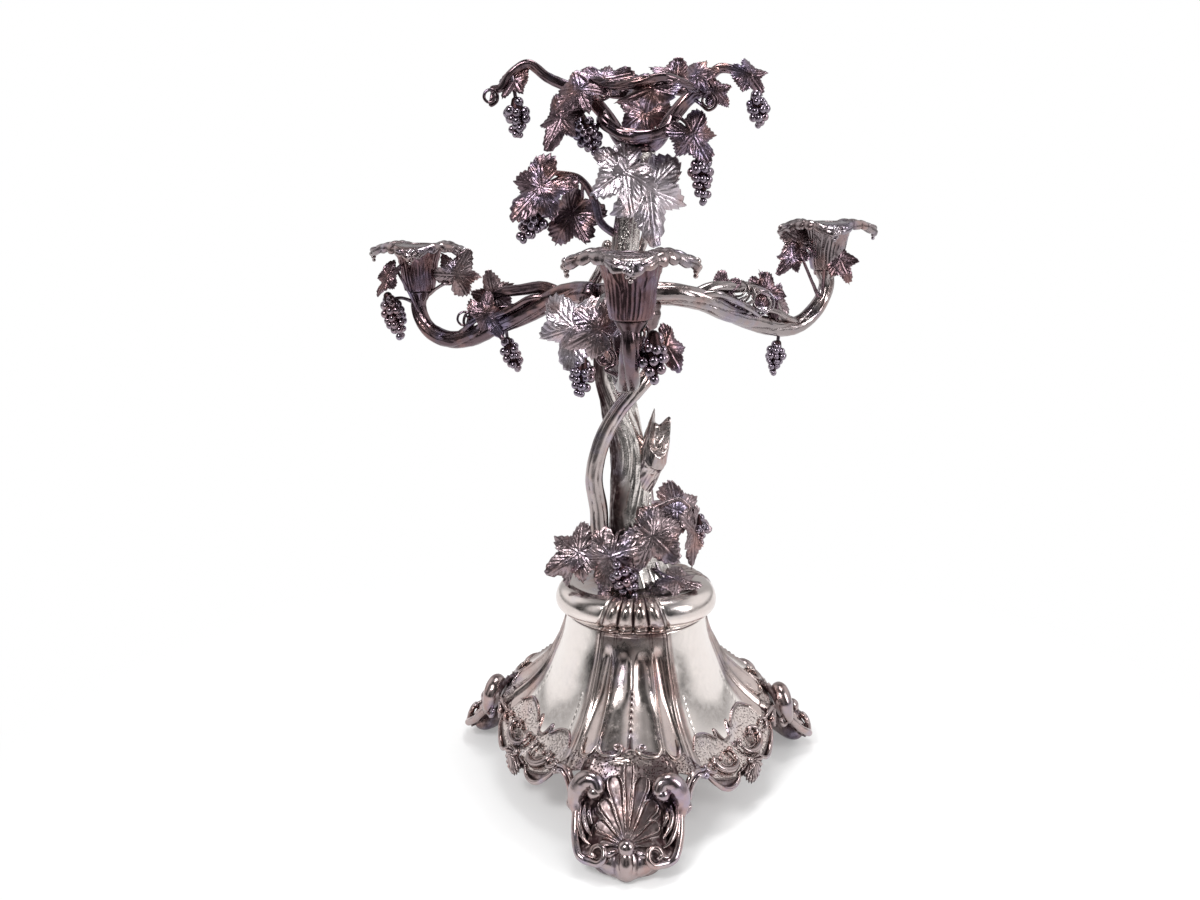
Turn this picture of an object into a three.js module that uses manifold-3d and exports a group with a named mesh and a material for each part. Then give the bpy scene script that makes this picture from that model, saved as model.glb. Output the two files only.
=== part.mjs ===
// A silver candelabrum cast as a grape vine: a flared base on three scrolled feet, a twisting trunk,
// three candle branches that lift out of a hub, and a basket of vine limbs that lifts off the top.
// Millimetres, +Z up. The origin is on the floor under the middle of the base, and -Y is the front.
import * as THREE from "three";
import { mergeVertices } from "three/addons/utils/BufferGeometryUtils.js";
import Module from "manifold-3d";

const wasm = await Module();
wasm.setup();

// Fits
const clearance = 0.3; // least gap to a neighbour when a piece is cut back from it
const seatGap = 0.32; // gap between faces made to bear on each other
const socketClearance = 0.45; // round a peg in its socket
const wall = 2; // raised sheet and cast shells

// Base
const baseSegments = 30; // steps round the base
const collarSegments = 24;
const domeHeight = 156; // floor to the top of the flared base
const domeTopRadius = 60;
const flangeRadius = 44; // hole in the top of the base
const footRimRadius = 126; // lower edge of the base over a foot
const footRimHeight = 72;
const panelRimRadius = 119; // lower edge of the base between the feet
const panelRimHeight = 38;
const collarHeight = 30;
const collarRadius = 71;
const collarPinch = 0.07; // how much the collar draws in over each foot
const collarShoulder = 19; // how far the top of the cushion lies inside its widest part
const footAzimuths = [["front", -2], ["right", 118], ["left", -122]];
const apronAzimuths = [["right", 58], ["rear", 178], ["left", -62]];

// Feet
const toeRadius = 17;
const toeReach = 169; // middle of the rolled toe, out from the axis
const toeHalfWidth = 22;
const toeFlat = 0.5; // depth of the flat that the foot stands on
const toeWall = 3.5; // the rolled toe is hollow and open at the back
const knobRadius = 8;
const shellRise = 14; // the shell of a foot starts this far over the rim of the base
const shellThickness = 5.5;
const shellLap = 12; // how far the shell laps over the rim of the base

// Tie rod under the collar
const rodRadius = 4;
const rodClearance = 0.4;
const rodGrip = 24; // how far the rod reaches into the trunk
const rodTail = 4; // length of rod below its nut
const washerRadius = 14;
const washerThickness = 2;
const nutRadius = 7.5;
const nutHeight = 6;

// Trunk, hub and upper stem
const trunkHeight = 221;
const trunkRadius = 16;
const trunkWall = 3;
const rootFlare = 1.95; // how much wider the trunk is at its root
const hubX = -16; // the trunk leans this far sideways by the time it meets the hub
const hubHeight = 34;
const hubCoreRadius = 19;
const hubNeckRadius = 16.3;
const lugRadius = 11;
const lugDistance = 28;
const lugDrop = 24; // length of each socket lug
const lugTipRadius = 7.5;
const socketSpare = 1; // room under a peg in its socket
const pegRadius = 5;
const pegLength = 16;
const stemHeight = 105;
const stemRadius = 11.5;
const vineRadius = 6.5;

// Branches
const armReach = 216; // hub axis to candle axis
const armRadius = 8;
const armAzimuths = { left: -120, front: 3, right: 120 };
const armRootRadius = 9.5;
const armRootRise = 8; // branch axis over its lug
const cupSeatRise = 11; // cup seat over the lugs
const lean = 0.055; // the crown of branches is a little low on the left

// Cups and nozzles
const candleRadius = 11.2;
const nozzleWall = 1.5;
const nozzleFloor = 2;
const nozzleClearance = 0.8; // round the tube where it stands on the floor of its cup
const cupHeight = 42;
const cupFlare = 10.5; // how much wider the cup is at its mouth than at its foot
const cupFloor = 10;
const cupFootStep = 2.5; // how far the foot of the cup stands out past its seat
const panOverhang = 12; // how far the pan stands out past the mouth of the cup, between its corners
const panCorner = 8; // how far the four corners stand out past panRadius
const panDroop = 6;
const panThickness = 2.4;

// Basket
const basketRingRadius = 52;
const basketRingRise = 50;
const basketPegLength = 22;
const basketPegRadius = 5;
const limbRadius = 4.5;
const ringStart = 186; // azimuth where the ring of vine starts
const ringTurn = 340; // how far round it goes

// Foliage
const leafThickness = 1.6;
const petioleRadius = 1.5;
const bunchWidth = 21;
const berryDip = 0.22; // how far the hollows between berries go in, as a share of the bunch
const tendrilRadius = 1.2;

// Radii worked out from the sizes above
const cupBottomRadius = candleRadius + nozzleWall + nozzleClearance;
const cupTopRadius = cupBottomRadius + cupFlare;
const cupSeatRadius = cupBottomRadius - cupFootStep;
const panRadius = cupTopRadius + panOverhang;
const rootRadius = rootFlare * trunkRadius;

// Levels worked out from the sizes above
const collarFoot = domeHeight + seatGap;
const collarTop = collarFoot + collarHeight;
const trunkFoot = collarTop + seatGap;
const trunkTop = trunkFoot + trunkHeight;
const hubFoot = trunkTop + seatGap;
const hubTop = hubFoot + hubHeight;
const lugTop = hubFoot + hubHeight / 2;
const stemFoot = hubTop + seatGap;
const stemTop = stemFoot + stemHeight;
const crownFoot = stemTop + seatGap;
const washerLow = collarTop - wall - seatGap - washerThickness;
const nutLow = washerLow - seatGap - nutHeight;
const rodLow = nutLow - rodTail;

// Colours read off the tarnished silver
const brightSilver = new THREE.MeshStandardMaterial({ color: 0xb3a5a8, roughness: 0.25, metalness: 1 });
const darkSilver = new THREE.MeshStandardMaterial({ color: 0x6d6068, roughness: 0.4, metalness: 1 });
const fixings = new THREE.MeshStandardMaterial({ color: 0x8a8078, roughness: 0.5, metalness: 1 });

function vec(x, y, z) {
  return new THREE.Vector3(x, y, z);
}

function radians(degrees) {
  return (degrees * Math.PI) / 180;
}

// A point given by its distance out, its sideways place and its height, on an azimuth from the front.
function spot(azimuth, out, side, height, centreX = 0) {
  const a = radians(azimuth);
  return vec(
    centreX + out * Math.sin(a) + side * Math.cos(a),
    -out * Math.cos(a) + side * Math.sin(a),
    height,
  );
}

// One closed body from points and triangles, turned so that its faces point out.
function closedSolid(points, triangles) {
  let volume = 0;
  for (const [a, b, c] of triangles) {
    volume += points[a].dot(points[b].clone().cross(points[c]));
  }
  const facing = volume < 0 ? triangles.map(([a, b, c]) => [a, c, b]) : triangles;
  const vertProperties = new Float32Array(points.flatMap((p) => [p.x, p.y, p.z]));
  const triVerts = new Uint32Array(facing.flat());
  return new wasm.Manifold(new wasm.Mesh({ numProp: 3, vertProperties, triVerts }));
}

function solidOf(geometry) {
  const bare = geometry.clone();
  bare.deleteAttribute("normal");
  bare.deleteAttribute("uv");
  const merged = mergeVertices(bare, 1e-3);
  const vertProperties = new Float32Array(merged.attributes.position.array);
  const triVerts = new Uint32Array(merged.index.array);
  return new wasm.Manifold(new wasm.Mesh({ numProp: 3, vertProperties, triVerts }));
}

// Rings of points joined into one body and closed at both ends.
function loft(rings) {
  const points = rings.flat();
  const count = rings[0].length;
  const triangles = [];
  for (let r = 0; r + 1 < rings.length; r++) {
    for (let i = 0; i < count; i++) {
      const a = r * count + i;
      const b = r * count + ((i + 1) % count);
      triangles.push([a, b, b + count], [a, b + count, a + count]);
    }
  }
  const last = (rings.length - 1) * count;
  for (let i = 1; i + 1 < count; i++) {
    triangles.push([0, i + 1, i], [last, last + i, last + i + 1]);
  }
  return closedSolid(points, triangles);
}

// A profile that closes on itself, carried round the vertical axis. Its shape may change on the way.
function roundShell(profileAt, segments) {
  const rings = [];
  for (let s = 0; s < segments; s++) {
    const azimuth = (360 * s) / segments;
    rings.push(profileAt(azimuth).map(([radius, height]) => spot(azimuth, radius, 0, height)));
  }
  const count = rings[0].length;
  const triangles = [];
  for (let s = 0; s < segments; s++) {
    const next = (s + 1) % segments;
    for (let i = 0; i < count; i++) {
      const j = (i + 1) % count;
      const a = s * count;
      const b = next * count;
      triangles.push([a + i, b + i, b + j], [a + i, b + j, a + j]);
    }
  }
  return closedSolid(rings.flat(), triangles);
}

function curveOf(points) {
  return new THREE.CatmullRomCurve3(points, false, "centripetal");
}

// A tube along a curve whose radius changes evenly between the given radii.
function sweep(curve, radii, { sides = 6, steps = 8, grow = 0 } = {}) {
  const rings = [];
  let normal = vec(0.31, 0.12, 0.94);
  for (let s = 0; s <= steps; s++) {
    const t = s / steps;
    const centre = curve.getPointAt(t);
    const ahead = curve.getTangentAt(t);
    normal = normal.clone().addScaledVector(ahead, -normal.dot(ahead)).normalize();
    const across = ahead.clone().cross(normal);
    const place = t * (radii.length - 1);
    const low = Math.min(Math.floor(place), radii.length - 2);
    const radius = THREE.MathUtils.lerp(radii[low], radii[low + 1], place - low) + grow;
    const ring = [];
    for (let i = 0; i < sides; i++) {
      const a = (2 * Math.PI * i) / sides;
      const point = centre.clone().addScaledVector(normal, radius * Math.cos(a));
      ring.push(point.addScaledVector(across, radius * Math.sin(a)));
    }
    rings.push(ring);
  }
  return loft(rings);
}

function levelRing(x, y, z, radius, sides) {
  const points = [];
  for (let i = 0; i < sides; i++) {
    const a = (2 * Math.PI * i) / sides;
    points.push(vec(x + radius * Math.cos(a), y + radius * Math.sin(a), z));
  }
  return points;
}

// A standing prism or cone.
function upright(x, y, low, high, radius, sides = 12, topRadius = radius) {
  return loft([levelRing(x, y, low, radius, sides), levelRing(x, y, high, topRadius, sides)]);
}

function ball(centre, radius) {
  const geometry = new THREE.IcosahedronGeometry(radius, 0);
  geometry.translate(centre.x, centre.y, centre.z);
  return solidOf(geometry);
}

function join(solids) {
  return solids.reduce((whole, next) => whole.add(next));
}

// Half the outline of a vine leaf, from its stalk to its tip: share of the width, share of the length.
const leafHalf = [
  [0.14, -0.13], [0.36, -0.1], [0.5, 0.12], [0.36, 0.24],
  [0.48, 0.52], [0.24, 0.56], [0.16, 0.8],
];
const leafOutline = [[0, 0], ...leafHalf, [0, 1], ...leafHalf.map(([x, y]) => [-x, y]).reverse()];
const leafHeart = 0.35; // middle of the blade, as a share of its length

// A thin bent plate with a given outline, from its joint to its tip, facing roughly the given way.
function blade(outline, joint, tip, face, width, bend, grow) {
  const along = tip.clone().sub(joint);
  const length = along.length();
  along.normalize();
  const up = face.clone().addScaledVector(along, -face.dot(along)).normalize();
  const across = along.clone().cross(up);
  const half = leafThickness / 2 + grow;
  const centred = outline.map(([x, y]) => [x * width, (y - leafHeart) * length]);
  const points = [];
  for (const side of [half, -half]) {
    for (const [x, y] of [[0, 0], ...centred]) {
      const far = Math.hypot(x, y);
      const spread = far > 0 ? (far + grow) / far : 1;
      const drop = (bend * (x * x + 0.5 * y * y)) / length;
      points.push(
        joint
          .clone()
          .addScaledVector(along, leafHeart * length + y * spread)
          .addScaledVector(across, x * spread)
          .addScaledVector(up, side - drop),
      );
    }
  }
  const count = outline.length;
  const under = count + 1;
  const triangles = [];
  for (let i = 0; i < count; i++) {
    const a = 1 + i;
    const b = 1 + ((i + 1) % count);
    triangles.push([0, a, b], [under, under + b, under + a]);
    triangles.push([a, under + a, under + b], [a, under + b, b]);
  }
  return closedSolid(points, triangles);
}

// A vine leaf on its stalk. Its joint and tip are given from the point where the stalk is rooted.
function leaf(root, toJoint, toTip, face, width, bend = 0.35) {
  return (grow) => {
    const joint = root.clone().add(vec(...toJoint));
    const tip = root.clone().add(vec(...toTip));
    const heart = joint.clone().lerp(tip, 0.2);
    const middle = root.clone().lerp(joint, 0.55).add(vec(0, 0, 2));
    const stalk = sweep(curveOf([root, middle, joint, heart]), [petioleRadius, petioleRadius], {
      sides: 4,
      steps: 3,
      grow,
    });
    return stalk.add(blade(leafOutline, joint, tip, vec(...face), width, bend, grow));
  };
}

// A bunch of grapes on its stalk: rings of berries, each row set half a berry round from the last.
const bunchFullness = [0.3, 0.85, 1, 0.85, 0.6, 0.28];
const berriesRound = 5;

function grapes(root, toTop, toTip, width = bunchWidth) {
  return (grow) => {
    const top = root.clone().add(vec(...toTop));
    const tip = root.clone().add(vec(...toTip));
    const down = tip.clone().sub(top).normalize();
    const side = vec(down.z, 0, -down.x).normalize();
    const depth = down.clone().cross(side);
    const rings = bunchFullness.map((share, row) => {
      const level = top.clone().lerp(tip, row / (bunchFullness.length - 1));
      level.addScaledVector(down, row === 0 ? -grow : grow);
      const ring = [];
      for (let i = 0; i < 2 * berriesRound; i++) {
        const a = (Math.PI * i) / berriesRound;
        const bump = i % 2 === row % 2 ? 1 : 1 - berryDip;
        const radius = (width / 2) * share * bump + grow;
        const point = level.clone().addScaledVector(side, radius * Math.cos(a));
        ring.push(point.addScaledVector(depth, radius * Math.sin(a)));
      }
      return ring;
    });
    const middle = root.clone().lerp(top, 0.5).add(vec(0, 0, 2));
    const stalk = curveOf([root, middle, top.clone().addScaledVector(down, 3)]);
    const stalkSolid = sweep(stalk, [petioleRadius, petioleRadius], { sides: 4, steps: 3, grow });
    return loft(rings).add(stalkSolid);
  };
}

// A curl of tendril that climbs from its root in a widening loop.
function tendril(root, reach, loopRadius, rise) {
  return (grow) => {
    const points = [root];
    const centre = root.clone().add(vec(...reach));
    const turns = 1.4;
    const count = 9;
    for (let i = 0; i <= count; i++) {
      const t = i / count;
      const a = -Math.PI / 2 + 2 * Math.PI * turns * t;
      const r = loopRadius * (1 - 0.45 * t);
      points.push(centre.clone().add(vec(r * Math.cos(a), rise * t, r * Math.sin(a))));
    }
    return sweep(curveOf(points), [tendrilRadius, tendrilRadius], { sides: 4, steps: 16, grow });
  };
}

const candelabrum = new THREE.Group();
const placed = [];

function boxesMeet(a, b) {
  return [0, 1, 2].every((k) => a.min[k] <= b.max[k] && b.min[k] <= a.max[k]);
}

// Adds a piece. It is cut back from the pieces that are there already, with the clearance between them.
function place(name, build, material, group = candelabrum) {
  let solid = build(0);
  for (const other of placed) {
    if (boxesMeet(other.space.boundingBox(), solid.boundingBox())) {
      solid = solid.subtract(other.space);
    }
  }
  const pieces = solid.decompose().sort((a, b) => b.volume() - a.volume());
  const { vertProperties, triVerts } = pieces[0].getMesh();
  const geometry = new THREE.BufferGeometry();
  geometry.setAttribute("position", new THREE.BufferAttribute(vertProperties, 3));
  geometry.setIndex(new THREE.BufferAttribute(triVerts, 1));
  const mesh = new THREE.Mesh(geometry, material.clone());
  mesh.name = name;
  group.add(mesh);
  placed.push({ name, space: build(clearance) });
}

// Base: two profiles, one over a foot and one over the panel between feet, and a smooth blend of them.
// Each row is the share of the way out to the rim, then the share of the height over the rim.
const footProfile = [
  [0, 1], [0.06, 0.81], [0.2, 0.607], [0.35, 0.43], [0.606, 0.256], [0.88, 0.083], [1, 0],
];
const panelProfile = [
  [0, 1], [0.076, 0.805], [0.17, 0.61], [0.305, 0.4], [0.51, 0.203], [0.763, 0.076], [1, 0],
];

function footness(azimuth) {
  const nearest = 0.5 + 0.5 * Math.cos(3 * radians(azimuth - footAzimuths[0][1]));
  return Math.pow(nearest, 1.2);
}

function domeOutline(azimuth) {
  const share = footness(azimuth);
  return footProfile.map(([out, up], i) => {
    const [panelOut, panelUp] = panelProfile[i];
    const footR = THREE.MathUtils.lerp(domeTopRadius, footRimRadius, out);
    const footZ = THREE.MathUtils.lerp(footRimHeight, domeHeight, up);
    const panelR = THREE.MathUtils.lerp(domeTopRadius, panelRimRadius, panelOut);
    const panelZ = THREE.MathUtils.lerp(panelRimHeight, domeHeight, panelUp);
    return [THREE.MathUtils.lerp(panelR, footR, share), THREE.MathUtils.lerp(panelZ, footZ, share)];
  });
}

// Moves an outline of radius and height points sideways, towards the axis for a positive distance.
function inset(outline, distance) {
  return outline.map(([r, z], i) => {
    const [r0, z0] = outline[Math.max(i - 1, 0)];
    const [r1, z1] = outline[Math.min(i + 1, outline.length - 1)];
    const length = Math.hypot(r1 - r0, z1 - z0);
    return [r + (distance * (z1 - z0)) / length, z - (distance * (r1 - r0)) / length];
  });
}

// Moves the last point of an outline further along the way the outline runs.
function stretchEnd(outline, distance) {
  const [before, last] = outline.slice(-2);
  const length = Math.hypot(last[0] - before[0], last[1] - before[1]);
  last[0] += (distance * (last[0] - before[0])) / length;
  last[1] += (distance * (last[1] - before[1])) / length;
}

function dome(grow) {
  return roundShell((azimuth) => {
    const outer = inset(domeOutline(azimuth), -grow);
    const inner = inset(domeOutline(azimuth), wall + grow);
    outer[0] = [outer[0][0], domeHeight + grow];
    inner[0] = [domeTopRadius - wall - grow, domeHeight - wall - grow];
    stretchEnd(outer, grow);
    stretchEnd(inner, grow);
    const hole = flangeRadius - grow;
    return [
      [hole, domeHeight + grow],
      ...outer,
      ...inner.reverse(),
      [hole, domeHeight - wall - grow],
    ];
  }, baseSegments);
}

// The collar's outline, from its lip up over its cushion to the flat that carries the trunk.
function collarOutline(azimuth) {
  const nearFoot = 0.5 + 0.5 * Math.cos(3 * radians(azimuth - footAzimuths[0][1]));
  const widest = collarRadius * (1 - collarPinch * nearFoot);
  const upAt = (share) => collarFoot + share * collarHeight;
  return [
    [domeTopRadius, upAt(0)],
    [domeTopRadius + 1, upAt(0.14)],
    [widest - 4, upAt(0.28)],
    [widest, upAt(0.53)],
    [widest - 4, upAt(0.8)],
    [widest - collarShoulder, upAt(0.96)],
    [rootRadius, collarTop],
  ];
}

function collar(grow) {
  return roundShell((azimuth) => {
    const outer = inset(collarOutline(azimuth).reverse(), -grow).reverse();
    const inner = inset(collarOutline(azimuth).reverse(), wall + grow).reverse();
    outer[0][1] = collarFoot - grow;
    inner[0][1] = collarFoot - grow;
    const hole = rodRadius + rodClearance - grow;
    return [
      ...outer,
      [hole, collarTop + grow],
      [hole, collarTop - wall - grow],
      ...inner.reverse(),
    ];
  }, collarSegments);
}

const floorCut = upright(0, 0, -30, 0, 400, 4);

// Rows of the shell-shaped face of a foot: share of the way from the rim of the base to the toe, half
// width, rise over the straight line between them, and how far its edges stand over its middle.
const shellRows = [
  [0, 11, 0, -1], [0.27, 28, 3, 1], [0.45, 36, 1, 5], [0.65, 42, 1, 4],
  [0.85, 39, 2, 1], [1, 31, 0, -3],
];

// The two scrolls along its edges: share of the way out, distance to the side, rise over that line.
const scrollRows = [[0.3, 27, 5], [0.5, 37, 4], [0.72, 39, 0], [0.9, 34, -5]];

function footPoint(azimuth, share, side, rise) {
  const out = THREE.MathUtils.lerp(footRimRadius - shellLap, toeReach, share);
  const height = THREE.MathUtils.lerp(footRimHeight + shellRise, 2 * toeRadius - 7, share);
  return spot(azimuth, out, side, height + rise);
}

const acrossFoot = [-1, -0.5, 0, 0.5, 1];

function toeCurve(azimuth, halfWidth, shift) {
  const axisHeight = toeRadius - toeFlat;
  return curveOf(acrossFoot.map((s) => spot(azimuth, toeReach + shift, s * halfWidth, axisHeight)));
}

function footShell(azimuth, grow) {
  const rings = shellRows.map(([share, half, rise, lift]) => {
    const row = (offset) =>
      acrossFoot.map((s) => footPoint(azimuth, share, s * (half + grow), rise + lift * s * s + offset));
    return [...row(grow), ...row(-shellThickness - grow).reverse()];
  });
  return loft(rings);
}

function footScroll(azimuth, side, grow) {
  const edge = scrollRows.map(([share, half, rise]) => footPoint(azimuth, share, side * half, rise));
  edge.push(spot(azimuth, toeReach, side * (toeHalfWidth - 4), toeRadius - toeFlat));
  return sweep(curveOf(edge), [8, 6, 6, 8, 9], { sides: 5, steps: 5, grow });
}

// The room inside the rolled toe, with its opening at the back.
function toeHollow(azimuth, grow) {
  const hollowWidth = toeHalfWidth - 5;
  const inside = toeRadius - toeWall - grow;
  const radii = [inside - 4, inside, inside, inside - 4];
  const room = sweep(toeCurve(azimuth, hollowWidth, 0), radii, { sides: 8, steps: 3 });
  const behind = toeCurve(azimuth, hollowWidth - 6, -0.8 * toeRadius);
  return room.add(sweep(behind, [inside - 6, inside - 6], { sides: 6, steps: 1 }));
}

function foot(azimuth) {
  return (grow) => {
    const ends = toeRadius - 5;
    const rolled = [ends, toeRadius, toeRadius, toeRadius, ends];
    const solids = [
      footShell(azimuth, grow),
      sweep(toeCurve(azimuth, toeHalfWidth, 0), rolled, { sides: 12, steps: 4, grow }),
      ball(spot(azimuth, toeReach + 6, 0, 2 * toeRadius - toeFlat - 3), knobRadius + grow),
      footScroll(azimuth, -1, grow),
      footScroll(azimuth, 1, grow),
    ];
    return join(solids).subtract(floorCut).subtract(toeHollow(azimuth, grow));
  };
}

const shellOutline = [
  [0, 0.1], [0.2, 0], [0.42, 0.12], [0.5, 0.42], [0.46, 0.72], [0.3, 0.9], [0.16, 0.97], [0, 1],
];
const otherHalf = shellOutline.slice(1, -1).map(([x, y]) => [-x, y]);
const fanOutline = [...shellOutline, ...otherHalf.reverse()];

// Places on an apron: the turn in degrees from the middle of its panel and the drop below the rim.
const apronBand = [-36, -27, -18, -9, 0, 9, 18, 27, 36];
const apronScroll = [[11, 2], [15, 9], [20, 13], [26, 12], [29, 6], [27, 2]];
const apronVolute = [[34, 3], [37, 0], [39, 4], [38, 9], [35.5, 8]];

// A cast border between two feet: a rolled edge, a hanging shell, two open scrolls, two end volutes.
function apron(azimuth) {
  const rim = (turn, out, drop) => {
    const [radius, height] = domeOutline(azimuth + turn).at(-1);
    return spot(azimuth + turn, radius + out, 0, height - drop);
  };
  return (grow) => {
    const band = curveOf(apronBand.map((turn) => rim(turn, 0.5, 3.1)));
    const face = spot(azimuth, 1, 0, 0.25);
    const solids = [
      sweep(band, [2.6, 3, 3, 2.6], { sides: 4, steps: 9, grow }),
      blade(fanOutline, rim(0, 1, -2), rim(0, 5, 16), face, 32, 0.1, grow + 0.8),
    ];
    for (const side of [-1, 1]) {
      const scroll = curveOf(apronScroll.map(([turn, drop]) => rim(side * turn, 2, drop)));
      const volute = curveOf(apronVolute.map(([turn, drop]) => rim(side * turn, 3, drop)));
      solids.push(sweep(scroll, [2.4, 2.8, 2.4], { sides: 4, steps: 5, grow }));
      solids.push(sweep(volute, [2.6, 2.2], { sides: 4, steps: 4, grow }));
    }
    return join(solids);
  };
}

// Trunk: sideways place, share of the height, and radius as a share of the trunk's radius.
const trunkBends = [
  [0, 0, rootFlare], [-1, 0.06, 1.6], [-2.5, 0.17, 1.35], [-3.5, 0.3, 1.18], [-5, 0.42, 1.05],
  [-9, 0.55, 0.97], [-15, 0.67, 0.97], [-21, 0.8, 1], [-22, 0.9, 1], [-19, 1, 1.03],
];
const trunkCurve = curveOf(trunkBends.map(([x, up]) => vec(x, 0, trunkFoot + up * trunkHeight)));

function trunkAt(up) {
  return trunkCurve.getPoint(up);
}

// Level rings up a trunk or stem. Their three low knots wander round from row to row.
function levelRings(bends, foot, height, size, grow, sides) {
  return bends.map(([x, up, share], row) => {
    const ring = [];
    for (let i = 0; i < sides; i++) {
      const a = (2 * Math.PI * i) / sides;
      const knot = 1 + 0.05 * Math.cos(3 * a + 1.7 * row);
      const radius = size * share * knot + grow;
      ring.push(vec(x + radius * Math.cos(a), radius * Math.sin(a), foot + up * height));
    }
    return ring;
  });
}

function trunk(grow) {
  const rings = levelRings(trunkBends, trunkFoot, trunkHeight, trunkRadius, grow, 12);
  rings[0].forEach((p) => (p.z -= grow));
  rings.at(-1).forEach((p) => (p.z += grow));
  const inner = trunkBends.slice(1, -1);
  const hollow = levelRings(inner, trunkFoot, trunkHeight, trunkRadius, -trunkWall - grow, 8);
  hollow[0].forEach((p) => (p.z = trunkFoot + rodGrip + 2));
  hollow.at(-1).forEach((p) => (p.z = trunkTop - trunkWall * 2));
  const boreRadius = rodRadius + rodClearance - grow;
  const bore = upright(0, 0, trunkFoot - 5, trunkFoot + rodGrip + 5, boreRadius);
  return loft(rings).subtract(loft(hollow)).subtract(bore);
}

// The stump of a broken limb, with a hollow torn top.
const stumpBase = trunkAt(0.38);
const stumpCurve = curveOf([
  stumpBase.clone().add(vec(0, -2, -8)),
  stumpBase.clone().add(vec(10, -5, 12)),
  stumpBase.clone().add(vec(20, -7, 38)),
  stumpBase.clone().add(vec(26, -8, 58)),
]);

function stump(grow) {
  const limb = sweep(stumpCurve, [8, 9, 9, 8], { sides: 8, steps: 5, grow });
  const mouth = [0.72, 0.9, 1].map((share) => stumpCurve.getPointAt(share));
  mouth.push(stumpCurve.getPointAt(1).add(vec(2, 0, 6)));
  const hollow = sweep(curveOf(mouth), [2, 6, 6.5], { sides: 6, steps: 3, grow: -grow });
  return limb.subtract(hollow);
}

// The thick vine that leaves the ground at the left, crosses in front and climbs round behind the hub.
// Rows are the share of the trunk's height and the place beside the trunk, then the same for the hub.
const vineRoute = [
  [0.13, -18, -15], [0.22, -28, -17], [0.33, -29, -17], [0.45, -31, -19], [0.57, -20, -22],
  [0.68, -1, -26], [0.76, 21, -26], [0.82, 33, -12], [0.88, 32, 10], [0.93, 16, 28], [1.0, -4, 32],
];
const vineTop = [[0.35, -26, 31], [0.78, -24, 33], [1.3, -15, 26], [1.9, -10, 13]];
const vineCurve = curveOf([
  ...vineRoute.map(([up, x, y]) => trunkAt(up).add(vec(x, y, 0))),
  ...vineTop.map(([up, x, y]) => vec(hubX + x, y, hubFoot + up * hubHeight)),
]);

function vine(grow) {
  const radii = [8, 7.5, 7, vineRadius, vineRadius, 5.5, 5, 4.5];
  return sweep(vineCurve, radii, { sides: 6, steps: 24, grow });
}

function lugPlace(azimuth, height) {
  return spot(azimuth, lugDistance, 0, height, hubX);
}

// The hub: a knuckle on the trunk with a socket lug for each branch.
function hub(grow) {
  const low = hubFoot - grow;
  const core = upright(hubX, 0, low, lugTop + grow, hubCoreRadius + grow, 12);
  const neck = upright(hubX, 0, lugTop - 1, hubTop + grow, hubNeckRadius + grow, 12);
  const lugs = Object.values(armAzimuths).map((azimuth) => {
    const { x, y } = lugPlace(azimuth, 0);
    const waist = lugTop - lugDrop / 2;
    const full = lugRadius + grow;
    const tapered = upright(x, y, lugTop - lugDrop - grow, waist, lugTipRadius + grow, 10, full);
    return tapered.add(upright(x, y, waist - 0.5, lugTop + grow, full, 10));
  });
  const sockets = Object.values(armAzimuths).map((azimuth) => {
    const { x, y } = lugPlace(azimuth, 0);
    const floor = lugTop - pegLength - socketSpare;
    return upright(x, y, floor, lugTop + 5, pegRadius + socketClearance - grow, 12);
  });
  return join([core, neck, ...lugs]).subtract(join(sockets));
}

function tieRod(grow) {
  return upright(0, 0, rodLow - grow, trunkFoot + rodGrip, rodRadius + grow, 12);
}

// The washer or the nut on the tie rod.
function piercedDisc(low, thickness, radius, sides) {
  return (grow) => {
    const hole = upright(0, 0, low - 5, low + thickness + 5, rodRadius + rodClearance - grow, 12);
    return upright(0, 0, low - grow, low + thickness + grow, radius + grow, sides).subtract(hole);
  };
}

// The upper stem, leaning back to the middle, with a thin second strand up its right side.
const stemBends = [
  [-14, 0, 1.12], [-12, 0.14, 1.03], [-11, 0.3, 1], [-9, 0.5, 0.96],
  [-6, 0.68, 0.96], [-2, 0.86, 1.05], [0, 1, 1.2],
];
// The strand: the share of the stem's height where each point lies, and how far beside the stem.
const strandRoute = [
  [0.2, 4, 7], [0.27, 12, 13], [0.45, 17, 13], [0.68, 18, 9], [0.85, 12, 4], [0.95, 5, 0],
];

function stemAt(up) {
  const curve = curveOf(stemBends.map(([x, share]) => vec(x, 0, stemFoot + share * stemHeight)));
  return curve.getPoint(up);
}

function stem(grow) {
  const rings = levelRings(stemBends, stemFoot, stemHeight, stemRadius, grow, 10);
  rings[0].forEach((p) => (p.z -= grow));
  rings.at(-1).forEach((p) => (p.z += grow));
  const strand = curveOf(strandRoute.map(([up, x, y]) => stemAt(up).add(vec(x, y, 0))));
  const socketFloor = stemTop - basketPegLength - socketSpare;
  const socketRadius = basketPegRadius + socketClearance - grow;
  const socket = upright(0, 0, socketFloor, stemTop + 5, socketRadius, 12);
  return loft(rings)
    .add(sweep(strand, [3.2, 3, 3], { sides: 6, steps: 9, grow }))
    .subtract(socket);
}

// Branches. Each row is the share of the way out to the candle, how far the branch bows to one side,
// and how far it hangs below the straight line from its root to its cup.
const armBends = [
  [0, 0, 0], [0.117, -8, 2], [0.25, -12, 8.5], [0.383, -10, 21], [0.543, -6, 33], [0.702, -3, 43.5],
  [0.824, -1, 46], [0.92, 0, 39], [0.984, 0, 27], [1.01, 0, 15], [1, 0, 4],
];
const strandBends = [
  [0.2, -12, 4], [0.3, -13, -1], [0.42, -11, 1], [0.54, -8, 4],
  [0.64, -7, 13], [0.7, -5, 27], [0.7, -3, 41],
];

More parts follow.
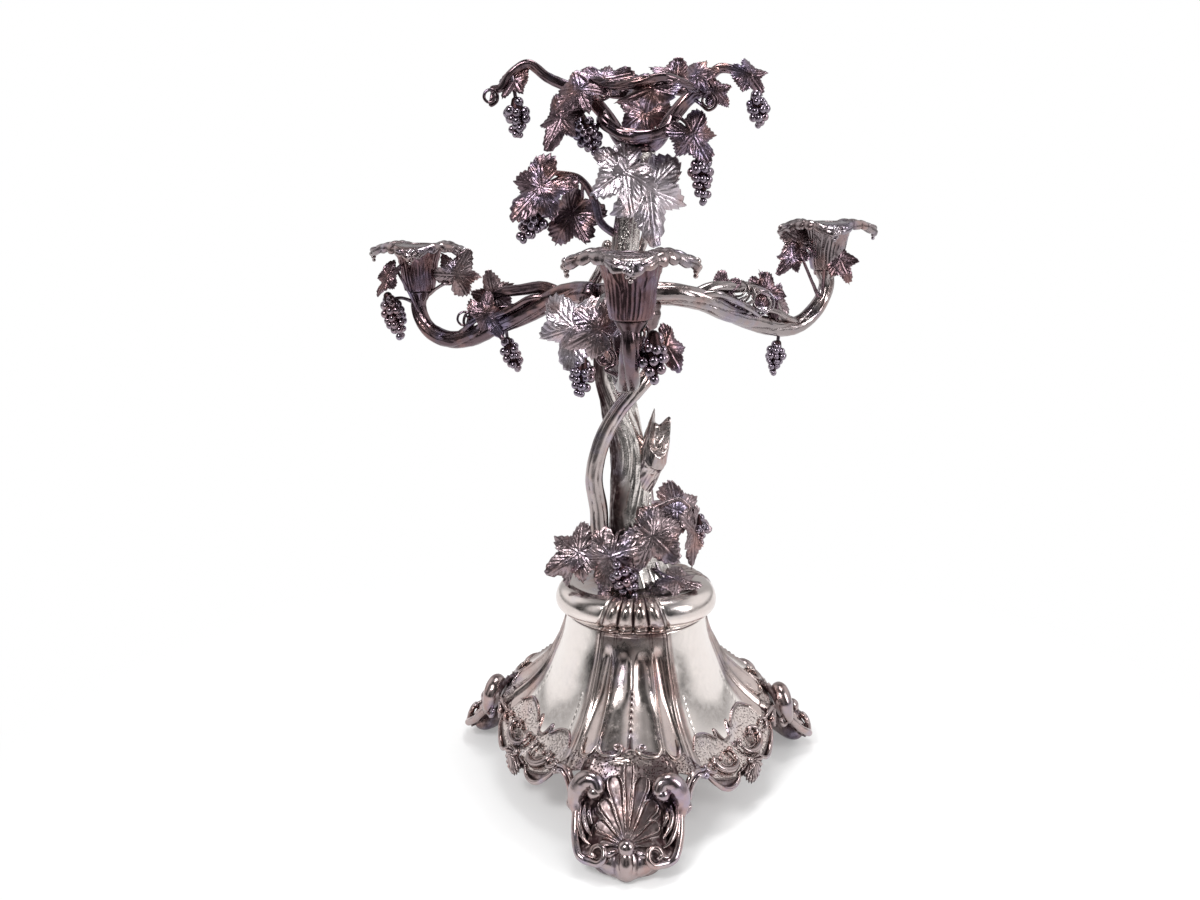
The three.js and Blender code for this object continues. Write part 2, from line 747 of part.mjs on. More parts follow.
function armPoint(azimuth, share, side, sag) {
  const out = THREE.MathUtils.lerp(lugDistance, armReach, share);
  const rise = THREE.MathUtils.lerp(armRootRise, cupSeatRise, share);
  const point = spot(azimuth, out, side, lugTop + rise - sag, hubX);
  point.z += lean * share * (point.x - hubX);
  return point;
}

function armCurve(azimuth) {
  return curveOf(armBends.map(([share, side, sag]) => armPoint(azimuth, share, side, sag)));
}

function cupSeat(azimuth) {
  return armPoint(azimuth, 1, 0, 0);
}

function arm(azimuth) {
  return (grow) => {
    const { x, y, z } = lugPlace(azimuth, lugTop + seatGap);
    const seat = cupSeat(azimuth);
    const top = seat.z - seatGap;
    const limbRadii = [9, 9.5, 9, armRadius, armRadius, 7.5, 7, 6.5];
    const strand = strandBends.map(([share, side, sag]) => armPoint(azimuth, share, side, sag));
    const rootTop = z + 2 * armRootRise;
    return join([
      sweep(armCurve(azimuth), limbRadii, { sides: 7, steps: 14, grow }),
      sweep(curveOf(strand), [5, 5, 4, 3.5], { sides: 5, steps: 6, grow }),
      upright(x, y, z - grow, rootTop, armRootRadius + grow, 10, armRootRadius - 3),
      upright(x, y, z - pegLength - grow, z + 2, pegRadius + grow, 12),
      upright(seat.x, seat.y, top - 8 - grow, top + grow, 7 + grow, 10, cupSeatRadius + grow),
    ]).subtract(upright(seat.x, seat.y, top + grow, top + 20, cupSeatRadius * 2, 4));
  };
}

// Candle cup: a trumpet with a solid floor. Rows are the share of its height and of its flare.
const cupOutside = [[0, 0], [0.25, 0.2], [0.55, 0.34], [0.8, 0.6], [1, 1]];
const cupInside = [[1, 1], [0.8, 0.6], [0.55, 0.34], [cupFloor / cupHeight, 0.19]];

function cup(azimuth) {
  const seat = cupSeat(azimuth);
  const flare = cupTopRadius - cupBottomRadius;
  return (grow) => {
    const profile = (rows, offset) =>
      rows.map(([up, out]) => [cupBottomRadius + flare * out + offset, seat.z + up * cupHeight]);
    const points = [
      [0, seat.z - grow],
      ...profile(cupOutside, grow),
      ...profile(cupInside, -wall - grow),
      [0, seat.z + cupFloor + grow],
    ];
    points[1][1] -= grow;
    const geometry = new THREE.LatheGeometry(points.map(([r, z]) => new THREE.Vector2(r, z)), 14);
    geometry.rotateX(Math.PI / 2);
    geometry.translate(seat.x, seat.y, 0);
    return solidOf(geometry);
  };
}

// Nozzle: the lift-out tube that grips the candle, with a drip pan whose four corners droop.
function nozzle(azimuth) {
  const seat = cupSeat(azimuth);
  const low = seat.z + cupFloor + seatGap;
  const panLevel = seat.z + cupHeight + seatGap;
  const tube = candleRadius + nozzleWall;
  return (grow) => {
    const segments = 16;
    const rings = [];
    for (let s = 0; s < segments; s++) {
      const a = (2 * Math.PI * s) / segments;
      const corner = Math.pow(0.5 + 0.5 * Math.cos(4 * a), 1.5);
      const rim = panRadius + panCorner * corner;
      const droop = panDroop * corner;
      const profile = [
        [tube + grow, low - grow],
        [tube + grow, panLevel - 4],
        [cupTopRadius + 1, panLevel - grow],
        [rim - 5, panLevel + 1 - 0.3 * droop - grow],
        [rim + grow, panLevel - droop - 1],
        [rim - 1, panLevel + panThickness - 0.7 * droop + grow],
        [rim - 7, panLevel + panThickness + 1.5 - 0.2 * droop + grow],
        [cupTopRadius - 4, panLevel + grow],
        [candleRadius - grow, panLevel - 4 + panThickness],
        [candleRadius - grow, low + nozzleFloor + grow],
      ];
      rings.push(profile.map(([r, z]) => vec(seat.x + r * Math.cos(a), seat.y + r * Math.sin(a), z)));
    }
    const under = vec(seat.x, seat.y, low - grow);
    return cappedShell(rings, under, vec(seat.x, seat.y, low + nozzleFloor + grow));
  };
}

// Profiles set round an axis whose first and last points are closed by a point on the axis.
function cappedShell(rings, lowCentre, highCentre) {
  const count = rings[0].length;
  const points = [...rings.flat(), lowCentre, highCentre];
  const centre = rings.length * count;
  const triangles = [];
  rings.forEach((ring, s) => {
    const a = s * count;
    const b = ((s + 1) % rings.length) * count;
    for (let i = 0; i + 1 < count; i++) {
      triangles.push([a + i, b + i, b + i + 1], [a + i, b + i + 1, a + i + 1]);
    }
    triangles.push([centre, b, a], [centre + 1, a + count - 1, b + count - 1]);
  });
  return closedSolid(points, triangles);
}

// Basket: a peg and a fork of three limbs that carry a ring of vine. Rows of a limb are the share of
// the way out to the ring and the share of the height.
const limbAzimuths = [-97, 83, 185];
const limbBends = [[0, 0.06], [0.22, 0.2], [0.42, 0.48], [0.7, 0.8], [1, 1]];

// The arches over the ring at the left and right: points over the foot of the basket.
const leftArch = [[-74, 0, 58], [-89, 0, 68], [-103, 0, 61], [-112, 2, 50], [-118, 4, 49]];
const rightArch = [[55, -2, 57], [63, 0, 64], [74, 0, 63], [88, 0, 58]];

function limbCurve(azimuth) {
  return curveOf(
    limbBends.map(([share, rise]) => {
      const out = THREE.MathUtils.lerp(4, basketRingRadius, share);
      return spot(azimuth, out, 0, crownFoot + rise * basketRingRise);
    }),
  );
}

function ringCurve() {
  const points = [];
  const count = 16;
  for (let i = 0; i <= count; i++) {
    const azimuth = ringStart + (ringTurn * i) / count;
    const wave = Math.sin(radians(3 * azimuth + 40));
    const out = basketRingRadius + 4 * wave;
    points.push(spot(azimuth, out, 0, crownFoot + basketRingRise + 3 * Math.sin(radians(5 * azimuth))));
  }
  return curveOf(points);
}

function crown(grow) {
  const pegLow = crownFoot - basketPegLength - grow;
  const peg = upright(0, 0, pegLow, crownFoot + 4, basketPegRadius + grow, 12);
  const knuckle = upright(0, 0, crownFoot - grow, crownFoot + 14, 12 + grow, 10, 8 + grow);
  const limbs = limbAzimuths.map((azimuth) =>
    sweep(limbCurve(azimuth), [7, 6, 5.5, limbRadius], { sides: 6, steps: 5, grow }),
  );
  const ring = sweep(ringCurve(), [3, 3.2, 3], { sides: 5, steps: 22, grow });
  const arches = [leftArch, rightArch].map((points, i) => {
    const start = limbCurve(limbAzimuths[i]).getPointAt(0.9);
    const route = [start, ...points.map(([x, y, z]) => vec(x, y, crownFoot + z))];
    return sweep(curveOf(route), [limbRadius, 4, 3.4, 3], { sides: 5, steps: 6, grow });
  });
  return join([peg, knuckle, ...limbs, ring, ...arches]);
}

// Base
place("base_dome", dome, brightSilver);
place("base_collar", collar, brightSilver);
for (const [name, azimuth] of footAzimuths) {
  place(`foot_${name}`, foot(azimuth), brightSilver);
}
for (const [name, azimuth] of apronAzimuths) {
  place(`apron_${name}`, apron(azimuth), brightSilver);
}

// Trunk and what is fixed to it
place("trunk", trunk, brightSilver);
place("trunk_stump", stump, brightSilver);
place("arm_hub", hub, darkSilver);
place("upper_stem", stem, brightSilver);
place("twisting_vine", vine, brightSilver);

// Tie rod
place("tie_rod", tieRod, fixings);
place("tie_washer", piercedDisc(washerLow, washerThickness, washerRadius, 14), fixings);
place("tie_nut", piercedDisc(nutLow, nutHeight, nutRadius, 6), fixings);

// Leaves and grapes round the foot of the trunk
const footVine = vineCurve.getPointAt(0.06);
const trunkSkirt = trunkAt(0.2);
place(
  "foot_leaf_left",
  leaf(footVine, [-8, -6, 2], [-42, -8, -22], [-0.35, -0.9, 0.3], 36),
  darkSilver,
);
place(
  "foot_leaf_centre",
  leaf(trunkAt(0.24), [-15, -32, 0], [-26, -37, -38], [-0.2, -1, 0.1], 36),
  darkSilver,
);
place(
  "foot_leaf_right",
  leaf(trunkAt(0.28), [6, -27, 2], [36, -33, -24], [0.25, -1, 0.3], 42),
  brightSilver,
);
place(
  "foot_leaf_rear",
  leaf(trunkAt(0.3), [26, 14, 6], [62, 14, -16], [0.3, -0.9, 0.4], 34),
  darkSilver,
);
place(
  "foot_leaf_hanging",
  leaf(trunkSkirt, [-42, -10, 4], [-63, -20, -34], [-0.9, -0.3, 0.3], 26),
  darkSilver,
);
place("foot_grapes", grapes(trunkSkirt, [-14, -40, -8], [1, -46, -36]), darkSilver);
place(
  "collar_leaf",
  leaf(trunkAt(0.07), [28, -22, 0], [51, -32, -6], [0.1, -0.15, 1], 36, 0.1),
  brightSilver,
);

// An arched stem with its own leaf and grapes, springing from the right of the trunk
const archStart = trunkAt(0.3);
const archCurve = curveOf([
  archStart,
  archStart.clone().add(vec(22, -4, 8)),
  archStart.clone().add(vec(40, -5, 14)),
  archStart.clone().add(vec(50, -4, 6)),
]);
const archLeaf = leaf(archCurve.getPointAt(0.97), [2, -4, -6], [6, -8, -52], [0.8, -0.6, 0.2], 24);
const archStem = (grow) => sweep(archCurve, [2.2, 2, 1.8], { sides: 6, steps: 7, grow });
place("foot_spray", (grow) => join([archStem(grow), archLeaf(grow)]), darkSilver);
place(
  "foot_spray_grapes",
  grapes(archCurve.getPointAt(0.86), [12, 8, -16], [12, 8, -44], 17),
  darkSilver,
);

// The leaf and grapes that hang at the junction of the branches
const hubLeft = vec(hubX, 0, lugTop);
place("hub_leaf", leaf(hubLeft, [-34, -30, 0], [-40, -36, -46], [-0.3, -0.95, 0.15], 46), brightSilver);
place("hub_grapes", grapes(hubLeft, [-29, -34, -42], [-32, -36, -72]), darkSilver);

// Leaves and grapes of the upper stem
place(
  "stem_leaf_front_left",
  leaf(stemAt(0.9), [1, -22, 0], [-34, -27, -20], [-0.2, -1, 0.3], 44),
  brightSilver,
);
place(
  "stem_leaf_front_right",
  leaf(stemAt(0.84), [7, -21, 2], [14, -27, -50], [0.2, -1, 0.2], 46),
  brightSilver,
);
const sprayStart = stemAt(0.36);
const sprayCurve = curveOf([
  sprayStart,
  sprayStart.clone().add(vec(-20, 0, 14)),
  sprayStart.clone().add(vec(-26, -1, 34)),
  sprayStart.clone().add(vec(-38, -3, 50)),
  sprayStart.clone().add(vec(-56, -6, 54)),
]);
const sprayStem = (grow) => sweep(sprayCurve, [3.6, 3.2, 2.6, 2.2], { sides: 6, steps: 9, grow });
const sprayLeaf = leaf(sprayCurve.getPointAt(0.97), [-4, -3, 0], [-36, -9, -32], [-0.3, -0.9, 0.3], 38);
const sprayUnder = sprayCurve.getPointAt(0.72);
const sprayUnderLeaf = leaf(sprayUnder, [-2, 10, -14], [-26, 13, -48], [-0.3, -0.9, 0.2], 38);
place(
  "stem_spray",
  (grow) => join([sprayStem(grow), sprayLeaf(grow), sprayUnderLeaf(grow)]),
  darkSilver,
);
place(
  "stem_spray_grapes",
  grapes(sprayCurve.getPointAt(0.86), [-24, 4, -28], [-42, 4, -52]),
  darkSilver,
);

// Branches with their cups, nozzles, leaves, grapes and tendrils
const foliage = {
  left: {
    leaves: [["cup_leaf_left", 0.86, [24, -6, 40], [40, -8, 66], [0.1, -1, 0.1], 32],
      ["arm_leaf_left", 0.5, [-2, 12, 14], [-8, 14, 46], [-0.4, 0.8, 0.3], 30]],
    grapes: [["cup_grapes_left", 0.96, [-28, -2, 8], [-16, -2, -32], 21],
      ["arm_grapes_left", 0.46, [2, 0, -16], [12, 0, -44], 19]],
    curl: ["tendril_left", 0.66, [10, -2, 16], 13, -9],
  },
  front: {
    leaves: [["cup_leaf_front", 0.72, [-12, 8, 30], [-34, 10, 48], [-0.2, -0.9, 0.3], 34]],
    grapes: [["cup_grapes_front", 0.88, [15, 2, 18], [16, 2, -12], 21]],
    curl: ["tendril_front", 0.5, [14, 0, 18], 9, -8],
  },
  right: {
    leaves: [["cup_leaf_right", 0.93, [-20, -4, 40], [-42, -6, 54], [0, -1, 0.2], 26],
      ["arm_leaf_right", 0.62, [2, -2, 12], [-14, -4, 46], [0.2, -1, 0.1], 18]],
    grapes: [["arm_grapes_right", 0.64, [-2, -4, -14], [-5, -4, -42], 17]],
    curl: ["tendril_right", 0.42, [2, -2, 20], 11, 10],
  },
};

for (const [name, azimuth] of Object.entries(armAzimuths)) {
  const branch = new THREE.Group();
  candelabrum.add(branch);
  const curve = armCurve(azimuth);
  place(`arm_${name}`, arm(azimuth), darkSilver, branch);
  place(`cup_${name}`, cup(azimuth), darkSilver, branch);
  place(`nozzle_${name}`, nozzle(azimuth), brightSilver, branch);
  for (const [leafName, share, joint, tip, face, width] of foliage[name].leaves) {
    place(leafName, leaf(curve.getPointAt(share), joint, tip, face, width), darkSilver, branch);
  }
  for (const [bunchName, share, top, tip, width] of foliage[name].grapes) {
    place(bunchName, grapes(curve.getPointAt(share), top, tip, width), darkSilver, branch);
  }
  const [curlName, share, reach, loop, rise] = foliage[name].curl;
  place(curlName, tendril(curve.getPointAt(share), reach, loop, rise), darkSilver, branch);
}

// Basket
const basket = new THREE.Group();
candelabrum.add(basket);
const leftLimb = limbCurve(limbAzimuths[0]);
const rightLimb = limbCurve(limbAzimuths[1]);
place("basket_crown", crown, brightSilver, basket);
const archEnd = (points) => vec(points[0], points[1], crownFoot + points[2]);
place(
  "basket_grapes_left",
  grapes(archEnd(leftArch[2]), [4, -2, -22], [5, -2, -50]),
  darkSilver,
  basket,
);
place(
  "basket_grapes_middle",
  grapes(leftLimb.getPointAt(0.8), [-8, -12, -14], [6, -12, -46]),
  darkSilver,
  basket,
);
place(
  "basket_grapes_right",
  grapes(archEnd(rightArch[3]), [4, 0, -14], [8, 0, -38], 19),
  darkSilver,
  basket,
);
place(
  "basket_grapes_hanging",
  grapes(rightLimb.getPointAt(0.45), [24, -8, -26], [27, -8, -66], 19),
  darkSilver,
  basket,
);
place(
  "basket_leaf_right",
  leaf(rightLimb.getPointAt(0.5), [10, -12, -6], [26, -16, -32], [0.3, -0.9, 0.3], 32),
  brightSilver,
  basket,
);
place(
  "basket_leaf_upright",
  leaf(ringCurve().getPointAt(0.95), [1, 1, 5], [4, 4, 24], [0.2, -1, 0.2], 24),
  darkSilver,
  basket,
);

export default candelabrum;
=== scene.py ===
# A silver candelabrum cast as a grape vine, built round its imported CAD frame.
# All shapes are worked out in millimetres, and Shape.piece() turns them into metres.
import itertools
import math

import bpy
import mathutils
import numpy as np
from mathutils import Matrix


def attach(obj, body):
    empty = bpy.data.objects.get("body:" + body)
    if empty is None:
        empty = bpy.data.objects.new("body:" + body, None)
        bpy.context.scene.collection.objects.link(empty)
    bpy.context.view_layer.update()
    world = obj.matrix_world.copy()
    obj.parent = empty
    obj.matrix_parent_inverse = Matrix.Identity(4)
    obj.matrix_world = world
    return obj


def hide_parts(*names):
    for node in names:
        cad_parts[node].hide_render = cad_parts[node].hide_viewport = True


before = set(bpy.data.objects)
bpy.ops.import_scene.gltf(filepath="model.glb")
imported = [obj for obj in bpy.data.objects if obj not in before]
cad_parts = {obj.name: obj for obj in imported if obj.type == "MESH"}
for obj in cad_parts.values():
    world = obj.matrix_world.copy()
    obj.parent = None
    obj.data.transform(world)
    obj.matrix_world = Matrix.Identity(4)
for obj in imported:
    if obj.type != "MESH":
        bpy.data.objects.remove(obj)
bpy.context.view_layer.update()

# Base
DOME_HEIGHT = 156
DOME_TOP_RADIUS = 60
FOOT_RIM_RADIUS = 126
FOOT_RIM_HEIGHT = 72
PANEL_RIM_RADIUS = 119
PANEL_RIM_HEIGHT = 38
WALL = 2
FLANGE_RADIUS = 44
SEAT_GAP = 0.32
COLLAR_HEIGHT = 30
COLLAR_RADIUS = 71
COLLAR_PINCH = 0.07
COLLAR_SHOULDER = 19
ROD_HOLE_RADIUS = 4.4
ROOT_RADIUS = 31
FRONT_FOOT = -2
FOOT_AZIMUTHS = {"front": -2, "right": 118, "left": -122}
APRON_AZIMUTHS = {"right": 58, "rear": 178, "left": -62}
TOE_RADIUS = 17
TOE_REACH = 169
TOE_HALF_WIDTH = 22
TOE_EXTRA_WIDTH = 4
TOE_SINK = 5.5
KNOB_RADIUS = 8

# Trunk, hub and stem
TRUNK_HEIGHT = 221
TRUNK_RADIUS = 16
HUB_X = -16
HUB_HEIGHT = 34
HUB_CORE_RADIUS = 19
LUG_RADIUS = 11
LUG_DISTANCE = 28
LUG_DROP = 24
LUG_TIP_RADIUS = 7.5
SOCKET_RADIUS = 5.45
PEG_RADIUS = 5
PEG_LENGTH = 16
STEM_HEIGHT = 105
STEM_RADIUS = 11.5

# Branches, cups and nozzles
ARM_REACH = 216
ARM_AZIMUTHS = {"left": -120, "front": 3, "right": 120}
ARM_ROOT_RADIUS = 9.5
ARM_ROOT_RISE = 8
CUP_SEAT_RISE = 11
LEAN = 0.055
CUP_HEIGHT = 42
CUP_BOTTOM_RADIUS = 13.5
CUP_FLARE = 10.5
CUP_FLOOR = 10
CUP_SEAT_RADIUS = 11
CANDLE_RADIUS = 11.2
NOZZLE_WALL = 1.5
NOZZLE_FLOOR = 2
PAN_RADIUS = 36
PAN_CORNER = 8
PAN_DROOP = 6

# Basket
RING_RADIUS = 52
RING_RISE = 50
BASKET_PEG_LENGTH = 22
LIMB_AZIMUTHS = [-97, 83, 185]
RING_START = 186
RING_TURN = 340

# Levels
COLLAR_FOOT = DOME_HEIGHT + SEAT_GAP
COLLAR_TOP = COLLAR_FOOT + COLLAR_HEIGHT
TRUNK_FOOT = COLLAR_TOP + SEAT_GAP
TRUNK_TOP = TRUNK_FOOT + TRUNK_HEIGHT
HUB_FOOT = TRUNK_TOP + SEAT_GAP
HUB_TOP = HUB_FOOT + HUB_HEIGHT
LUG_TOP = HUB_FOOT + HUB_HEIGHT / 2
STEM_FOOT = HUB_TOP + SEAT_GAP
STEM_TOP = STEM_FOOT + STEM_HEIGHT
CROWN_FOOT = STEM_TOP + SEAT_GAP

# The camera that the photograph was taken with, as fitted
CAMERA_PLACE = (0, -0.960, 0.522)
CAMERA_DOWN = 13
CAMERA_LEFT = 1.9
CAMERA_LENS = 34.5


# Plain sums
def spot(azimuth, out, side, height, centre_x=0):
    """A point seen from the axis: how far out along an azimuth, how far to its side, and its height."""
    a = np.radians(azimuth)
    x = centre_x + out * np.sin(a) + side * np.cos(a)
    y = -out * np.cos(a) + side * np.sin(a)
    return np.stack(np.broadcast_arrays(x, y, height), axis=-1).astype(float)


def lerp(a, b, share):
    return a + (b - a) * share


def unit(vectors):
    return vectors / np.maximum(np.linalg.norm(vectors, axis=-1, keepdims=True), 1e-9)


def ease(low, high, value):
    """Zero below low, one above high, smooth between."""
    share = np.clip((value - low) / (high - low), 0, 1)
    return share * share * (3 - 2 * share)


def bump(value, middle, width):
    return np.exp(-(((value - middle) / width) ** 2))


def even(count):
    """Evenly spaced shares from 0 to 1."""
    return np.linspace(0, 1, count)


def read(values, share):
    """A list's values at shares of its length, in straight steps."""
    return np.interp(share, even(len(values)), values)


def triple(a, b, c):
    """Points from three coordinates, each an array or a number."""
    return np.stack(np.broadcast_arrays(a, b, c), axis=-1)


def circle(sides):
    """The angles of a ring of points."""
    return 2 * np.pi * np.arange(sides) / sides


def through(rows, share):
    """Values read smoothly through evenly spaced rows of numbers, for shares from 0 to 1."""
    rows = np.asarray(rows, float)
    last = len(rows) - 1
    place = np.clip(share, 0, 1) * last
    low = np.minimum(place.astype(int), last - 1)
    part = (place - low)[..., None]
    full = np.vstack([2 * rows[0] - rows[1], rows, 2 * rows[-1] - rows[-2]])
    a, b, c, d = full[low], full[low + 1], full[low + 2], full[low + 3]
    bend = (2 * a - 5 * b + 4 * c - d) * part + (3 * b - a - 3 * c + d) * part * part
    return 0.5 * (2 * b + (c - a + bend) * part)


def hashed(cells):
    """A repeatable number from 0 to 1 for each cell."""
    mixed = np.sin(cells @ np.array([12.9898, 78.233, 37.719])) * 43758.5453
    return mixed - np.floor(mixed)


def noise(points, seed=0):
    """Smooth repeatable noise from -1 to 1."""
    points = np.asarray(points, float) + seed * 17.31
    cell = np.floor(points)
    part = points - cell
    part = part * part * (3 - 2 * part)
    total = 0
    for corner in itertools.product((0, 1), repeat=3):
        corner = np.array(corner)
        weight = np.prod(np.where(corner == 1, part, 1 - part), axis=-1)
        total = total + weight * hashed(cell + corner)
    return 2 * total - 1


class Route:
    """A smooth curve through points, by the same centripetal rule as the CAD model's curves."""

    def __init__(self, points):
        self.points = [np.asarray(p, float) for p in points]
        self.shares = np.linspace(0, 1, 201)
        table = np.array([self.at(t) for t in self.shares])
        steps = np.linalg.norm(np.diff(table, axis=0), axis=1)
        self.lengths = np.concatenate([[0], np.cumsum(steps)])
        self.length = self.lengths[-1]

    def at(self, t):
        p = self.points
        last = len(p) - 1
        low = min(int(t * last), last - 1)
        part = t * last - low
        b, c = p[low], p[low + 1]
        a = p[low - 1] if low > 0 else 2 * b - c
        d = p[low + 2] if low + 2 <= last else 2 * c - b
        gaps = [max(math.sqrt(np.linalg.norm(v)), 1e-4) for v in (b - a, c - b, d - c)]
        g0, g1, g2 = gaps
        start = ((b - a) / g0 - (c - a) / (g0 + g1) + (c - b) / g1) * g1
        end = ((c - b) / g1 - (d - b) / (g1 + g2) + (d - c) / g2) * g1
        cubic = 2 * b - 2 * c + start + end
        square = 3 * c - 3 * b - 2 * start - end
        return b + part * (start + part * (square + part * cubic))

    def along(self, share):
        """The points at shares of the curve's length."""
        t = np.interp(np.asarray(share) * self.length, self.lengths, self.shares)
        if np.ndim(t) == 0:
            return self.at(float(t))
        return np.array([self.at(v) for v in t])


# Meshes
def grid_faces(rows, columns, closed=True):
    """Quads of a grid of points, joined round its columns if it is closed."""
    row = np.arange(rows - 1)[:, None] * columns
    column = np.arange(columns if closed else columns - 1)[None, :]
    after = (column + 1) % columns
    corners = [row + column, row + after, row + columns + after, row + columns + column]
    return np.stack(corners, axis=-1).reshape(-1, 4)


def smooth(dark=0.0):
    """A relief that leaves a surface bare, with one darkness."""
    def relief(distance, angle):
        return 0 * distance, 0 * distance + dark
    return relief


class Shape:
    """Points and quads that are gathered into one piece. Each point is marked with how dark, how
    stippled and how pale the silver is there. The darkness is oxide, and in places painted shade; the
    paleness is polish, and on the trunk and stem painted light on one side."""

    def __init__(self):
        self.points, self.faces, self.marks = [], [], []
        self.count = 0

    def add(self, points, faces, dark=0.0, stipple=0.0, tone=0.0):
        points = np.asarray(points, float).reshape(-1, 3)
        marks = np.zeros((len(points), 3))
        for column, value in enumerate((dark, stipple, tone)):
            marks[:, column] = np.asarray(value, float).reshape(-1) if np.ndim(value) else value
        self.points.append(points)
        self.faces.append(np.asarray(faces) + self.count)
        self.marks.append(marks)
        self.count += len(points)

    def fan(self, ring_start, sides, point, flip, dark):
        """Closes a ring of points that is there already with a point in its middle."""
        ring = ring_start + np.arange(sides)
        after = ring_start + (np.arange(sides) + 1) % sides
        middle = np.full(sides, self.count)
        order = [after, ring, middle, middle] if flip else [ring, after, middle, middle]
        self.add(point, np.stack(order, axis=-1) - self.count, dark)

    def closed(self, rings, low, high, dark=0.0, stipple=0.0, tone=0.0, ends=(0.0, 0.0), flip=False):
        """A skin through rings of points, closed at its ends round a low and a high point."""
        rows, sides = rings.shape[:2]
        begin = self.count
        faces = grid_faces(rows, sides)
        self.add(rings, faces[:, ::-1] if flip else faces, dark, stipple, tone)
        self.fan(begin, sides, low, not flip, ends[0])
        self.fan(begin + (rows - 1) * sides, sides, high, flip, ends[1])

    def piece(self, name, material, body, *nodes, slot="bright_silver"):
        """Makes the mesh in metres, hangs it on the empty of the body it rides and hides the CAD pieces it
        replaces.
        """
        points = np.concatenate(self.points) * 0.001
        points[:, 2] = np.maximum(points[:, 2], 0.0)
        faces = np.concatenate(self.faces)
        marks = np.concatenate(self.marks)
        three = faces[:, 2] == faces[:, 3]
        totals = np.where(three, 3, 4)
        keep = np.ones(faces.shape, bool)
        keep[three, 3] = False
        mesh = bpy.data.meshes.new(name)
        mesh.vertices.add(len(points))
        mesh.vertices.foreach_set("co", points.ravel())
        mesh.loops.add(int(totals.sum()))
        mesh.loops.foreach_set("vertex_index", faces[keep])
        mesh.polygons.add(len(faces))
        mesh.polygons.foreach_set("loop_start", np.concatenate([[0], np.cumsum(totals)[:-1]]))
        mesh.polygons.foreach_set("loop_total", totals)
        mesh.polygons.foreach_set("use_smooth", np.ones(len(faces), bool))
        for column, mark in enumerate(("dark", "stipple", "tone")):
            layer = mesh.attributes.new(mark, "FLOAT", "POINT")
            layer.data.foreach_set("value", marks[:, column].astype(np.float32))
        mesh.update(calc_edges=True)
        mesh.validate()
        mesh.materials.append(material)
        made = bpy.data.objects.new(name, mesh)
        bpy.context.scene.collection.objects.link(made)
        if nodes:
            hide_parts(*nodes)
        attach(made, body)


def travel(centres):
    """Directions along a line of points, with a side and a depth that turn no more than they must."""
    ahead = unit(np.gradient(centres, axis=0))
    side = np.zeros_like(ahead)
    normal = np.array([0.31, 0.12, 0.94])
    for i, direction in enumerate(ahead):
        normal = normal - normal.dot(direction) * direction
        normal = normal / max(np.linalg.norm(normal), 1e-9)
        side[i] = normal
    return ahead, side, np.cross(ahead, side)


def limb(route, radii, count, sides, relief):
    """Rings along a route: their middles, the ways ahead and outward, the radii, points and darkness."""
    share = even(count)
    centres = route.along(share)
    ahead, side, depth = travel(centres)
    angle = circle(sides)
    out = side[:, None] * np.cos(angle)[:, None] + depth[:, None] * np.sin(angle)[:, None]
    radius = read(radii, share)
    rise, dark = relief(*np.broadcast_arrays((share * route.length)[:, None], angle))
    return centres, ahead, out, radius, centres[:, None] + out * (radius[:, None] + rise)[..., None], dark


def tube(shape, route, radii, sides=20, step=1.6, relief=smooth()):
    """A round limb along a route with rounded ends. Its relief gives a rise and a darkness."""
    count = max(int(route.length / step), 8) + 1
    centres, ahead, _, radius, points, dark = limb(route, radii, count, sides, relief)
    rings = {}
    for end, way in ((0, -1), (-1, 1)):
        for turn in (0.85, 0.5):
            sink = way * ahead[end] * radius[end] * math.sqrt(1 - turn * turn)
            rings[end, turn] = [centres[end] + (points[end] - centres[end]) * turn + sink]
    points = np.concatenate([rings[0, 0.5], rings[0, 0.85], points, rings[-1, 0.85], rings[-1, 0.5]])
    dark = np.concatenate([dark[:1], dark[:1], dark, dark[-1:], dark[-1:]])
    shape.closed(points, centres[0] - ahead[0] * radius[0], centres[-1] + ahead[-1] * radius[-1], dark)


def ball(shape, centre, radius, rows=9, sides=16, stretch=1.0, dark=0.0, tone=0.0):
    """A smooth bead, stretched along its upright axis."""
    lift = (np.pi * np.arange(1, rows) / rows)[:, None]
    turn = circle(sides)
    rings = triple(np.sin(lift) * np.cos(turn), np.sin(lift) * np.sin(turn), -np.cos(lift) * stretch)
    centre = np.asarray(centre, float)
    pole = np.array([0, 0, radius * stretch])
    shape.closed(centre + radius * rings, centre - pole, centre + pole, dark, 0.0, tone, (dark, dark))


def upright(shape, centre, radius, height, dark, stipple=0.0, tone=0.0, ends=(0.0, 0.0)):
    """Level rings round an upright axis, closed at both ends."""
    angle = circle(radius.shape[1])
    x, y, level, _ = np.broadcast_arrays(centre[0], centre[1], height, radius)
    rings = triple(x + radius * np.cos(angle), y + radius * np.sin(angle), level)
    low, high = ([x[end, 0], y[end, 0], level[end, 0]] for end in (0, -1))
    shape.closed(rings, low, high, dark, stipple, tone, ends)


def turned(shape, centre, profile, sides, relief):
    """A turned form round an upright axis from rows of radius and height, with a relief on its radius."""
    profile = np.asarray(profile, float)
    height, angle = np.broadcast_arrays(profile[:, 1:2], circle(sides))
    rise, dark = relief(height, angle)
    upright(shape, centre, profile[:, :1] + rise, height, dark)


# Bark
def bark(seed, grooves=3.0, length=26.0, depth=1.0):
    """Long fibres that wander round a limb, with dark hollows."""
    def relief(distance, angle):
        turn = angle + 0.35 * np.sin(distance / 19 + seed)

        def fibres(count, run, shift):
            return noise(triple(np.cos(turn) * count, np.sin(turn) * count, distance / run), seed + shift)
        broad = fibres(grooves * 0.55, length, 0)
        fine = fibres(grooves * 1.5, length * 0.55, 3)
        hair = fibres(grooves * 3.4, length * 0.3, 5)
        rise = depth * (broad + 0.55 * (1 - 2 * np.abs(fine)) + 0.14 * hair)
        return rise, np.clip(0.9 * (-0.12 - 0.75 * rise / depth), 0, 1)
    return relief


